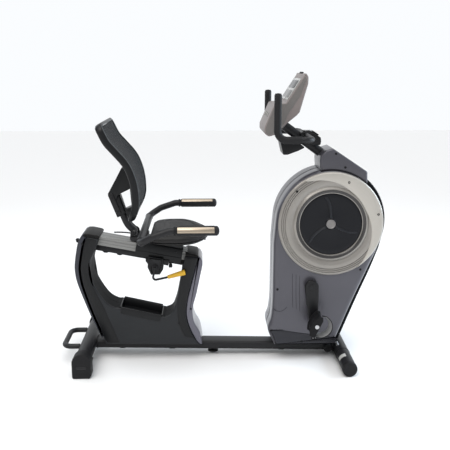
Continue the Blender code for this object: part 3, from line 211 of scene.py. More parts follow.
def bend(points, radius, steps=10, closed=False):
    """A polyline whose corners are rounded to the radius."""
    pts = [Vector(p) for p in points]
    ring = [pts[-1], *pts, pts[0]] if closed else pts
    out = [] if closed else [pts[0]]
    for before, corner, after in zip(ring, ring[1:], ring[2:]):
        into, away = (before - corner).normalized(), (after - corner).normalized()
        half = into.angle(away) / 2
        room = 0.48 * min((before - corner).length, (after - corner).length)
        if half > radians(86):
            out.append(corner)
            continue
        reach = min(radius * cos(half) / sin(half), room)
        here = reach * sin(half) / cos(half)
        centre = corner + (into + away).normalized() * here / sin(half)
        start, end = corner + into * reach, corner + away * reach
        swing = (start - centre).angle(end - centre)
        for i in range(steps + 1):
            t = i / steps
            out.append(centre + (start - centre) * sin((1 - t) * swing) / sin(swing)
                       + (end - centre) * sin(t * swing) / sin(swing))
    if not closed:
        out.append(pts[-1])
    return [tuple(p) for p in out]


def rounded(points, radius, steps=5):
    """A closed outline with its corners rounded."""
    return bend(points, radius, steps, closed=True)


def inset(outline, distance):
    """The closed outline moved towards its inside by the distance."""
    pts = [Vector(p) for p in outline]
    area = sum(a.x * b.y - b.x * a.y for a, b in zip(pts, pts[1:] + pts[:1]))
    side = 1 if area > 0 else -1
    out = []
    for before, here, after in zip(pts[-1:] + pts[:-1], pts, pts[1:] + pts[:1]):
        a, b = (here - before).normalized(), (after - here).normalized()
        both = (Vector((-a.y, a.x)) + Vector((-b.y, b.x))) * side
        out.append(tuple(here + both * 2 / max(both.length_squared, 0.8) * distance))
    return out


def circle(radius, sides=32):
    """A round section."""
    return [(radius * cos(2 * pi * i / sides), radius * sin(2 * pi * i / sides)) for i in range(sides)]


def box_section(half_width, half_height, corner, steps=5):
    """A rectangular section with rounded corners."""
    out = []
    for quarter, (sx, sz) in enumerate(((1, 1), (-1, 1), (-1, -1), (1, -1))):
        out += arc(sx * (half_width - corner), sz * (half_height - corner), corner,
                   90 * quarter, 90 * quarter + 90, steps)
    return out


# ---------------------------------------------------------------- solids
def make(name, bm, mat, crease=32):
    """A smooth-shaded object from the bmesh, with creases kept where faces turn sharply."""
    bmesh.ops.remove_doubles(bm, verts=bm.verts, dist=0.00002)
    bmesh.ops.dissolve_degenerate(bm, edges=bm.edges, dist=0.00001)
    bmesh.ops.recalc_face_normals(bm, faces=bm.faces)
    bmesh.ops.translate(bm, verts=bm.verts, vec=SHIFT)
    mesh = bpy.data.meshes.new(name)
    bm.to_mesh(mesh)
    bm.free()
    mesh.materials.append(mat)
    mesh.shade_smooth()
    mesh.set_sharp_from_angle(angle=radians(crease))
    obj = bpy.data.objects.new(name, mesh)
    bpy.context.scene.collection.objects.link(obj)
    return obj


def loft(name, rings, mat, closed=False, crease=32):
    """Skin a list of rings of 3-D points; the ends are filled, or joined when closed."""
    bm = bmesh.new()
    loops = [[bm.verts.new(p) for p in ring] for ring in rings]
    pairs = list(zip(loops, loops[1:]))
    if closed:
        pairs.append((loops[-1], loops[0]))
    for low, high in pairs:
        for i in range(len(low)):
            j = (i + 1) % len(low)
            bm.faces.new((low[i], low[j], high[j], high[i]))
    if not closed:
        bm.faces.new(loops[0])
        bm.faces.new(reversed(loops[-1]))
    return make(name, bm, mat, crease)


def at_y(outline, y):
    """An XZ outline as 3-D points at one Y."""
    return [(x, y, z) for x, z in outline]


def slab(name, outline, y_low, y_high, mat, rim=0.003, steps=3, low_rim=None):
    """An XZ outline extruded along Y with rounded rims at both faces, or only one."""
    low_rim = rim if low_rim is None else low_rim
    rings = []
    for i in range(steps + 1):
        turn = pi / 2 * i / steps
        rings.append(at_y(inset(outline, low_rim * (1 - sin(turn))), y_low + low_rim * (1 - cos(turn))))
    for i in range(steps, -1, -1):
        turn = pi / 2 * i / steps
        rings.append(at_y(inset(outline, rim * (1 - sin(turn))), y_high - rim * (1 - cos(turn))))
    return loft(name, rings, mat)


def side_slab(name, outline, y_in, y_out, sign, mat, rim=0.003, steps=3, inner_rim=0.0005):
    """A slab on one side of the machine, its outer rim rounded."""
    if sign > 0:
        return slab(name, outline, y_in, y_out, mat, rim, steps, inner_rim)
    return slab(name, outline, -y_out, -y_in, mat, inner_rim, steps, rim)


def sweep(name, path, section, mat, across=(0, 1, 0), closed=False, crease=32):
    """Carry a (side, up) section, or one per point, along a 3-D path."""
    pts = [Vector(p) for p in path]
    side = Vector(across)
    rings = []
    for i, here in enumerate(pts):
        if closed:
            tangent = pts[(i + 1) % len(pts)] - pts[i - 1]
        else:
            tangent = pts[min(i + 1, len(pts) - 1)] - pts[max(i - 1, 0)]
        tangent.normalize()
        side = (side - tangent * side.dot(tangent)).normalized()
        up = tangent.cross(side)
        rings.append([here + side * u + up * v for u, v in section])
    return loft(name, rings, mat, closed, crease)


def tube(name, path, radius, mat, sides=28, across=(0, 1, 0), dome=False, closed=False):
    """A round bar along a path, with rounded ends when dome is set."""
    pts = [Vector(p) for p in path]
    if not dome:
        return sweep(name, pts, circle(radius, sides), mat, across, closed)
    first, last = (pts[0] - pts[1]).normalized(), (pts[-1] - pts[-2]).normalized()
    steps = 6
    flat = radius * 0.6
    stations = [(pts[0] + first * (flat * (sin(pi / 2 * i / steps) - 1)), cos(pi / 2 * i / steps))
                for i in range(steps, -1, -1)]
    stations += [(p, 1.0) for p in pts[1:-1]]
    stations += [(pts[-1] + last * (flat * (sin(pi / 2 * i / steps) - 1)), cos(pi / 2 * i / steps))
                 for i in range(steps + 1)]
    side = Vector(across)
    rings = []
    for i, (here, share) in enumerate(stations):
        tangent = (stations[min(i + 1, len(stations) - 1)][0] - stations[max(i - 1, 0)][0]).normalized()
        side = (side - tangent * side.dot(tangent)).normalized()
        up = tangent.cross(side)
        size = radius * max(share, 0.02)
        rings.append([here + side * u * size + up * v * size for u, v in circle(1.0, sides)])
    return loft(name, rings, mat)


def turned(name, profile, centre, mat, sides=64, axis=(0, 1, 0), closed=False):
    """Turn a profile of (radius, along) pairs about an axis through the centre."""
    way = Vector(axis).normalized()
    out = way.orthogonal().normalized()
    centre = Vector(centre)
    bm = bmesh.new()
    start = [bm.verts.new(centre + out * r + way * y) for r, y in profile]
    edges = [bm.edges.new(pair) for pair in zip(start, start[1:])]
    if closed:
        edges.append(bm.edges.new((start[-1], start[0])))
    bmesh.ops.spin(bm, geom=start + edges, cent=centre, axis=way, angle=2 * pi, steps=sides,
                   use_merge=True, use_duplicate=False)
    return make(name, bm, mat)


def puck(name, radius, low, high, centre, mat, axis=(0, 1, 0), rim=0.0015, sides=48):
    """A round disc or bar with rounded rims."""
    profile = [(0, low)]
    profile += [(radius - rim + rim * sin(pi / 2 * i / 4), low + rim - rim * cos(pi / 2 * i / 4))
                for i in range(5)]
    profile += [(radius - rim + rim * cos(pi / 2 * i / 4), high - rim + rim * sin(pi / 2 * i / 4))
                for i in range(5)]
    profile.append((0, high))
    return turned(name, profile, centre, mat, sides, axis)


def screw(name, centre, axis, mat, radius=0.0055, body="frame", slot="black_powder_coat"):
    """A domed socket screw standing a little proud of its seat."""
    profile = [(0, 0.0002), (radius * 0.42, 0.0002), (radius * 0.48, 0.0014), (radius * 0.75, 0.0019),
               (radius * 0.95, 0.0012), (radius, 0.0), (radius, -0.003), (0, -0.003)]
    obj = turned(name, profile, centre, mat, 20, axis)
    return piece(obj, body, slot)


def hex_bolt(name, centre, axis, mat, size=0.01, body="frame", slot="zinc_steel"):
    """A hexagon head on a washer."""
    way = Vector(axis).normalized()
    side = way.orthogonal().normalized()
    up = way.cross(side)
    centre = Vector(centre)
    rings = []
    for along, share, count in ((-0.002, 1.35, 6), (0.0012, 1.35, 6), (0.0012, 1.0, 6), (0.0062, 1.0, 6),
                                (0.0072, 0.86, 6)):
        rings.append([centre + way * along + (side * cos(pi / 3 * i) + up * sin(pi / 3 * i)) * size * share
                      for i in range(count)])
    head = loft(name, rings[1:], mat)
    washer = puck(name + "_washer", size * 1.35, -0.002, 0.0012, centre, mat, axis, 0.0004, 28)
    piece(washer, body, slot)
    return piece(head, body, slot)


def piece(obj, body, slot, *nodes):
    """Tie a shown piece to its CAD body and hide the CAD nodes it stands for; the slot is not used."""
    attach(obj, body)
    if nodes:
        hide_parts(*nodes)
    return obj


# ---------------------------------------------------------------- base
BEAM_REAR_X, BEAM_REAR_Z, BEAM_FRONT_X, BEAM_FRONT_Z = -0.616, 0.064, 0.533, 0.039
BEAM_HALF_WIDTH, BEAM_HALF_HEIGHT, BEAM_CORNER = 0.04, 0.0195, 0.01
LABEL_RADIUS = 0.0328
REAR_TUBE_X, REAR_TUBE_Z, FRONT_TUBE_X, FRONT_TUBE_Z = -0.643, 0.071, 0.5385, 0.0338


def beam_z(x):
    """Height of the main beam's middle."""
    drop = BEAM_FRONT_Z - BEAM_REAR_Z
    return BEAM_REAR_Z + drop * (x - BEAM_REAR_X) / (BEAM_FRONT_X - BEAM_REAR_X)


def make_base():
    """Main beam, stabilisers, feet, handle, wheels and the small parts bolted to them."""
    slot = "black_powder_coat"
    ends = [(-0.6135, 0, beam_z(-0.6135)), (0.512, 0, beam_z(0.512))]
    section = box_section(BEAM_HALF_WIDTH, BEAM_HALF_HEIGHT, BEAM_CORNER)
    piece(sweep("beam_look", ends, section, COAT), "frame", slot, "main_beam")
    for label, x, z, radius, half in (("rear", REAR_TUBE_X, REAR_TUBE_Z, 0.035, 0.2262),
                                      ("front", FRONT_TUBE_X, FRONT_TUBE_Z, 0.0325, 0.2802)):
        bar = puck(f"{label}_tube_look", radius, -half, half, (x, 0, z), COAT, rim=0.001, sides=64)
        piece(bar, "frame", slot, f"{label}_stabiliser")
        for side, sign in SIDES:
            y = sign * (half - (0.01 if label == "rear" else 0.152))
            collar = puck(f"{label}_collar_{side}", radius + 0.0012, -0.0022, 0.0022, (x, y, z), RUBBER,
                          rim=0.0008, sides=64)
            piece(collar, "frame", "black_rubber")
    section = box_section(BEAM_HALF_WIDTH, BEAM_HALF_HEIGHT, BEAM_CORNER, 8)
    bead = [(u * 1.01, v * 1.01) for u, v in section]
    for label, x in (("rear", -0.6075), ("front", 0.5065)):
        path = [(x, u, beam_z(x) + v) for u, v in bead]
        weld = tube(f"{label}_weld", path, 0.0026, COAT, 10, (1, 0, 0), closed=True)
        piece(weld, "frame", slot)

    x, half, height = REAR_TUBE_X, 0.042, 0.113
    foot = [(x - half + 0.004, 0), (x - half, 0.006)]
    foot += arc(x, height - half, half, 180, 0, 28)
    foot += [(x + half, 0.012), (x + half - 0.008, 0)]
    for side, sign in SIDES:
        pad = side_slab(f"rear_foot_{side}_look", foot[::-1], 0.2263, 0.286, sign, RUBBER, 0.006, 5, 0.002)
        piece(pad, "frame", "black_rubber", f"rear_foot_{side}")
        slot_mark = rounded([(x - 0.02, 0.046), (x + 0.02, 0.046), (x + 0.02, 0.056), (x - 0.02, 0.056)],
                            0.0035)
        rings = [at_y(inset(slot_mark, d), sign * y) for d, y in
                 ((-0.0022, 0.2855), (-0.0016, 0.2868), (-0.0004, 0.2868), (0.0004, 0.2862))]
        piece(loft(f"foot_mark_{side}", rings, COAT), "frame", "black_rubber")
        cap = turned(f"front_cap_{side}_look",
                     mm((0, 280.3), (32.8, 280.3), (33.8, 281.3), (33.8, 295), (32.5, 299.5), (29, 302),
                        (24, 303.1), (22.5, 302.2), (0, 302.2)),
                     (FRONT_TUBE_X, 0, FRONT_TUBE_Z), RUBBER, 64, (0, sign, 0))
        piece(cap, "frame", "black_rubber", f"front_cap_{side}")
        hex_bolt(f"rear_tube_bolt_{side}", (-0.6095, sign * 0.205, 0.062), (1, 0, -0.2), COAT, 0.0075,
                 slot="black_powder_coat")
        for n, y in enumerate((0.052, 0.074)):
            hex_bolt(f"front_joint_bolt_{side}_{n}", (0.523, sign * y, 0.0625), (-0.35, 0, 0.94), STEEL,
                     0.0062)
        bracket = rounded(mm((500, 20), (530, 12), (530, 58), (505, 60)), 0.004)
        ear = side_slab(f"joint_ear_{side}", bracket, 0.04, 0.044, sign, COAT, 0.001)
        piece(ear, "frame", slot)

    path = bend(mm((-676, -105, 81), (-750, -105, 81), (-750, 105, 81), (-676, 105, 81)), 0.036, 12)
    piece(tube("lift_handle_look", path, 0.012, COAT, 28, (0, 0, 1)), "frame", slot, "lift_handle")

    for side, sign in SIDES:
        profile = mm((0, 40.3), (6, 40.3), (6, 41.5), (18.5, 42.5), (20, 44), (20, 47), (18.8, 47.8),
                     (18.8, 50.8), (20, 51.6), (20, 55.5), (18, 57.5), (13, 58), (12, 56.8), (7, 56.8),
                     (6.5, 57.8), (0, 58))
        wheel = turned(f"wheel_{side}_look", profile, (0.4805, 0, 0.036), RUBBER, 40, (0, sign, 0))
        piece(wheel, f"wheel_{side}", "black_rubber", f"transport_wheel_{side}")

    under = beam_z(-0.062) - 0.0198
    profile = [(0, 0.01), (0.022, 0.01), (0.025, 0.012), (0.025, 0.0155), (0.0235, 0.0172), (0.012, 0.0195),
               (0.008, 0.02), (0.008, under), (0, under)]
    piece(turned("levelling_foot_look", profile, (-0.062, 0, 0), RUBBER, 40, (0, 0, 1)),
          "frame", "black_rubber", "levelling_foot")
    for n, x in enumerate((-0.49, -0.256, 0.263)):
        low = beam_z(x) - BEAM_HALF_HEIGHT
        bump = rounded([(x - 0.018, low + 0.001), (x - 0.012, low - 0.0065), (x + 0.012, low - 0.0065),
                        (x + 0.018, low + 0.001)], 0.002)
        piece(slab(f"beam_pad_{n}", bump, -0.024, 0.024, RUBBER, 0.002), "frame", "black_rubber")
    label = []
    for y in (-0.222, -0.19):
        label.append([(x, y, z) for x, z in arc(FRONT_TUBE_X, FRONT_TUBE_Z, LABEL_RADIUS, 95, 165, 10)])
    bm = bmesh.new()
    rows = [[bm.verts.new(p) for p in row] for row in label]
    for i in range(len(rows[0]) - 1):
        bm.faces.new((rows[0][i], rows[0][i + 1], rows[1][i + 1], rows[1][i]))
    piece(make("blank_label", bm, BLANK), "frame", slot)


# ---------------------------------------------------------------- the rail's own frame
RAIL_TILT = radians(10.8)
RAIL_START = Vector((-0.586, 0.0, 0.5685))
RAIL_ALONG = Vector((cos(RAIL_TILT), 0, -sin(RAIL_TILT)))
RAIL_UP = Vector((sin(RAIL_TILT), 0, cos(RAIL_TILT)))


def on_rail(along, up=0.0, y=0.0):
    """A point given by its distance along the rail, above its middle, and across."""
    return RAIL_START + RAIL_ALONG * along + RAIL_UP * up + Vector((0, y, 0))


def rail_box(a, b, low, high):
    """A rectangle in the rail's frame, as an XZ outline."""
    pts = (on_rail(a, low), on_rail(b, low), on_rail(b, high), on_rail(a, high))
    return [(p.x, p.z) for p in pts]


# ---------------------------------------------------------------- seat support
REAR_EDGE = mm((-629, 591), (-644, 560), (-662, 471), (-664, 426), (-653.5, 357), (-615, 235), (-570, 115))
FRONT_EDGE = mm((-145, 98), (-173, 158), (-186, 218), (-182, 276), (-171, 329), (-147, 421), (-128, 492))
INNER_FRONT = mm((-187, 497.5), (-203, 439), (-211, 387), (-226, 306), (-236, 266), (-254, 224),
                 (-285, 209))
INNER_REAR = mm((-495, 256), (-514, 258), (-551, 281), (-585, 328), (-612, 382), (-620, 428), (-616, 480),
                (-590, 539), (-577, 581))
TRAY_RIM = (Vector((-0.489, 0.2575)), Vector((-0.297, 0.213)))


def make_seat_support():
    """Covers, trims, caps, tray, rail and the beam under the rail."""
    base = [(-0.56, 0.08), (-0.122, 0.071)]
    rear, front = smooth(REAR_EDGE), smooth(FRONT_EDGE)
    inner_front, inner_rear = smooth(INNER_FRONT), smooth(INNER_REAR)
    outline = rear + base + front + inner_front + inner_rear
    down = Vector((-0.2258, -0.9742))
    rim_a, rim_b = TRAY_RIM
    low_a, low_b = rim_a + down * 0.041, rim_b + down * 0.041
    notch = [tuple(rim_b + Vector((0.001, 0))), tuple(low_b + Vector((0.001, 0))),
             tuple(low_a - Vector((0.001, 0))), tuple(rim_a - Vector((0.001, 0)))]
    hollow = rear + base + front + inner_front + notch + inner_rear
    for side, sign in SIDES:
        # The inside faces get the darker material: painted shade in the hollow of the cover.
        body = side_slab(f"cover_{side}_inner", hollow, 0.0004, 0.0735, sign, LINER_SHADE, 0.0003, 1, 0.001)
        piece(body, "frame", "black_plastic")
        skin = side_slab(f"cover_{side}_look", outline, 0.0733, REAR_FACE, sign, COVER_SOFT, 0.0062, 5,
                         0.0001)
        piece(skin, "frame", "black_plastic", f"rear_cover_{side}")
        crease = mm((-487.5, 83.5), (-501, 105), (-560, 262), (-602, 352))
        panel = smooth(REAR_EDGE[:-1] + [(-0.5685, 0.112)]) + [(-0.556, 0.0835)] + crease
        panel += smooth(mm((-615.5, 384), (-622.5, 428), (-618.5, 480), (-592.5, 539), (-580, 580)))
        panel = inset(panel, 0.0035)
        raised = side_slab(f"cover_panel_{side}", panel, 0.079, 0.0812, sign, COVER, 0.0012, 2)
        piece(raised, "frame", "black_plastic")
        column = smooth(mm((-146, 101), (-174.5, 158), (-188, 218), (-184, 276), (-173, 329), (-149, 421),
                           (-131.5, 490)))
        column += smooth(mm((-184.5, 493.5), (-201, 439), (-209, 387), (-223.5, 306), (-231.5, 250),
                            (-222, 170), (-196, 110)))
        raised = side_slab(f"front_column_{side}", inset(column[::-1], 0.0025), 0.079, 0.0812, sign, COVER,
                           0.0012, 2)
        piece(raised, "frame", "black_plastic")
        for n, (x, z) in enumerate(((-0.2205, 0.179), (-0.165, 0.248), (-0.65, 0.56))):
            radius = 0.0048
            hole = turned(f"cover_screw_{side}_{n}",
                          [(0, 0.0808), (0.002, 0.0808), (0.003, 0.0818), (radius, 0.0824), (radius, 0.079)],
                          (x, 0, z), RUBBER, 20, (0, sign, 0))
            piece(hole, "frame", "black_plastic")
        top_a, top_b = rim_a + Vector((0.004, -0.001)), rim_b + Vector((-0.004, 0.001))
        low_a, low_b = top_a + down * 0.028 + Vector((0.003, 0)), top_b + down * 0.028
        panel = rounded([tuple(top_a), tuple(low_a), tuple(low_b), tuple(top_b)], 0.003)
        piece(side_slab(f"tray_panel_{side}", panel, 0.0785, 0.0822, sign, COVER, 0.0016, 3), "frame",
              "black_plastic")
        lip = [(x, sign * 0.08, z + 0.001) for x, z in (top_a, top_b)]
        piece(tube(f"tray_lip_{side}", lip, 0.003, COVER, 12, dome=True), "frame", "black_plastic")
        seam = [(p.x, sign * 0.0824, p.y) for p in (top_a.lerp(top_b, 0.56), low_a.lerp(low_b, 0.56))]
        piece(tube(f"tray_seam_{side}", seam, 0.0009, RUBBER, 8, dome=True), "frame", "black_plastic")

    outer = smooth(mm((-650, 602), (-670, 565), (-686.5, 483), (-689, 426), (-675, 357), (-618.5, 199),
                      (-576.5, 108)))
    inner = smooth(mm((-630.5, 591), (-645.2, 560), (-663.4, 471), (-665.4, 426), (-654.9, 357),
                      (-616.3, 235), (-572.5, 115)))
    strip = slab("rear_trim_look", outer + inner[::-1], -REAR_FACE, REAR_FACE, TRIM_DARK, 0.0055, 5)
    piece(strip, "frame", "grey_trim_plastic", "rear_trim")
    outer = smooth(mm((-127.5, 498), (-117, 489), (-109, 463), (-119, 410), (-139, 317), (-154.5, 259),
                      (-156, 217), (-148, 178), (-124, 132), (-113, 74)))
    inner = smooth(mm((-126.5, 492), (-145.5, 421), (-169.5, 329), (-180.5, 276), (-184.5, 218),
                      (-171.2, 158.8), (-143.2, 99), (-124.5, 74)))
    strip = slab("front_trim_look", outer + inner[::-1], -REAR_FACE, REAR_FACE, TRIM, 0.005, 5)
    piece(strip, "frame", "grey_trim_plastic", "front_trim")

    rear_cap = rounded(mm((-630, 592), (-577, 582.2), (-572.5, 584), (-572.5, 593), (-583, 598),
                          (-620, 606), (-636, 605.8), (-649, 603)), 0.004)
    front_cap = rounded(mm((-187, 498.5), (-129, 493), (-128.5, 498.5), (-136, 504), (-176, 512),
                           (-187, 509)), 0.003)
    for name, pts in (("rear_top_cap", rear_cap), ("front_top_cap", front_cap)):
        piece(slab(f"{name}_look", pts, -REAR_FACE, REAR_FACE, CAP, 0.0035, 4), "frame",
              "dark_cap_plastic", name)
    knob = mm((0, 0), (8, 1), (10, 4), (10, 12), (8.5, 15), (0, 16))
    piece(turned("rear_knob", knob, (-0.6755, 0.0, 0.56), RUBBER, 28, (-0.95, 0, -0.3)), "frame",
          "black_rubber")

    along = (rim_b - rim_a).normalized()
    middle, half_long = (rim_a + rim_b) / 2, (rim_b - rim_a).length / 2
    rings = []
    for depth, a, b in ((0.04, -0.003, -0.003), (0.0385, 0, 0), (0.0012, 0, 0), (-0.0005, 0.0006, 0.0006),
                        (-0.0012, -0.001, -0.001), (-0.0008, -0.0032, -0.0032), (0.001, -0.0042, -0.0042),
                        (0.034, -0.0052, -0.0052), (0.0368, -0.0085, -0.0085)):
        ring = []
        for u, v in box_section(half_long + a, 0.073 + b, 0.01, 4):
            spot = middle + along * u + down * depth
            ring.append((spot.x, v, spot.y))
        rings.append(ring)
    piece(loft("storage_tray_look", rings, COVER), "frame", "black_plastic", "storage_tray")

    side = mm((48, -20.5), (48, -8.5), (46.8, -7.5), (46.8, -6.2), (48, -5.2), (48, 4.2), (46.2, 5.8),
              (46.2, 7.2), (48, 8.8), (48, 18.2), (45.8, 20.5), (30, 20.5), (29, 19.8), (12, 19.8),
              (11, 20.5))
    section = side + [(-u, v) for u, v in side[::-1]]
    piece(sweep("seat_rail_look", [on_rail(0), on_rail(0.42)], section, RAIL, crease=20), "frame",
          "rail_aluminium", "seat_rail")
    under = rail_box(-0.008, 0.42, -0.0518, -0.021)
    piece(slab("seat_frame_look", rounded(under, 0.003), -0.03, 0.03, COAT, 0.003), "frame",
          "black_powder_coat", "seat_frame")
    for n, spot in enumerate((0.04, 0.105)):
        point = on_rail(spot, -0.0515)
        piece(puck(f"rail_stop_{n}", 0.012, 0.0, 0.0105, point, RUBBER, -RAIL_UP, 0.002, 28), "frame",
              "black_rubber")
    for side, sign in SIDES:
        for n, spot in enumerate((0.046, 0.396)):
            screw(f"rail_screw_{side}_{n}", on_rail(spot, -0.0365, sign * 0.03), (0, sign, 0), COAT, 0.006)
        screw(f"cap_screw_{side}", (-0.6375, sign * 0.08, 0.5945), (0, sign, 0), RUBBER, 0.004)


# ---------------------------------------------------------------- seat
def seat_plan(shrink, z, fall=0.0, fine=1):
    """The seat seen from above: square at the back, tapered to a round nose in front."""
    rear, shoulder, nose = -0.345 + shrink, -0.215, -0.074 - shrink
    wide, corner = 0.2 - shrink, 0.05
    points = []
    for i in range(8 * fine + 1):
        turn = pi / 2 - pi * i / (8 * fine)
        points.append((shoulder + (nose - shoulder) * cos(turn), wide * sin(turn)))
    points += arc(rear + corner, -wide + corner, corner, 270, 180, 3 * fine)
    points += arc(rear + corner, wide - corner, corner, 180, 90, 3 * fine)
    forward = 1 / (nose - shoulder)
    return [(x, y, z - fall * max(0, (x - shoulder) * forward) ** 2) for x, y in points]


PUFF_LIMIT, PUFF_FRAMES = 0.006, 18


def inflate(obj):
    """Puff the cushion up with a short pressure simulation, its underside held."""
    bpy.context.view_layer.objects.active = obj
    remesh = obj.modifiers.new("voxels", "REMESH")
    remesh.mode = "VOXEL"
    remesh.voxel_size = 0.006
    bpy.ops.object.modifier_apply(modifier="voxels")
    low = min(v.co.z for v in obj.data.vertices)
    held = obj.vertex_groups.new(name="held")
    held.add([v.index for v in obj.data.vertices if v.co.z < low + 0.012], 1.0, "REPLACE")
    cloth = obj.modifiers.new("cloth", "CLOTH")
    cloth.settings.use_pressure = True
    cloth.settings.uniform_pressure_force = 2.2
    cloth.settings.vertex_group_mass = "held"
    cloth.settings.tension_stiffness = 25
    cloth.settings.compression_stiffness = 25
    cloth.settings.bending_stiffness = 4
    cloth.settings.effector_weights.gravity = 0.0
    cloth.point_cache.frame_start = 1
    cloth.point_cache.frame_end = PUFF_FRAMES
    before = [v.co.copy() for v in obj.data.vertices]
    for number in range(1, PUFF_FRAMES + 1):
        bpy.context.scene.frame_set(number)
    bpy.ops.object.modifier_apply(modifier="cloth")
    for vertex, start in zip(obj.data.vertices, before):
        move = vertex.co - start
        if move.length > PUFF_LIMIT:
            vertex.co = start + move.normalized() * PUFF_LIMIT
    bpy.context.scene.frame_set(1)


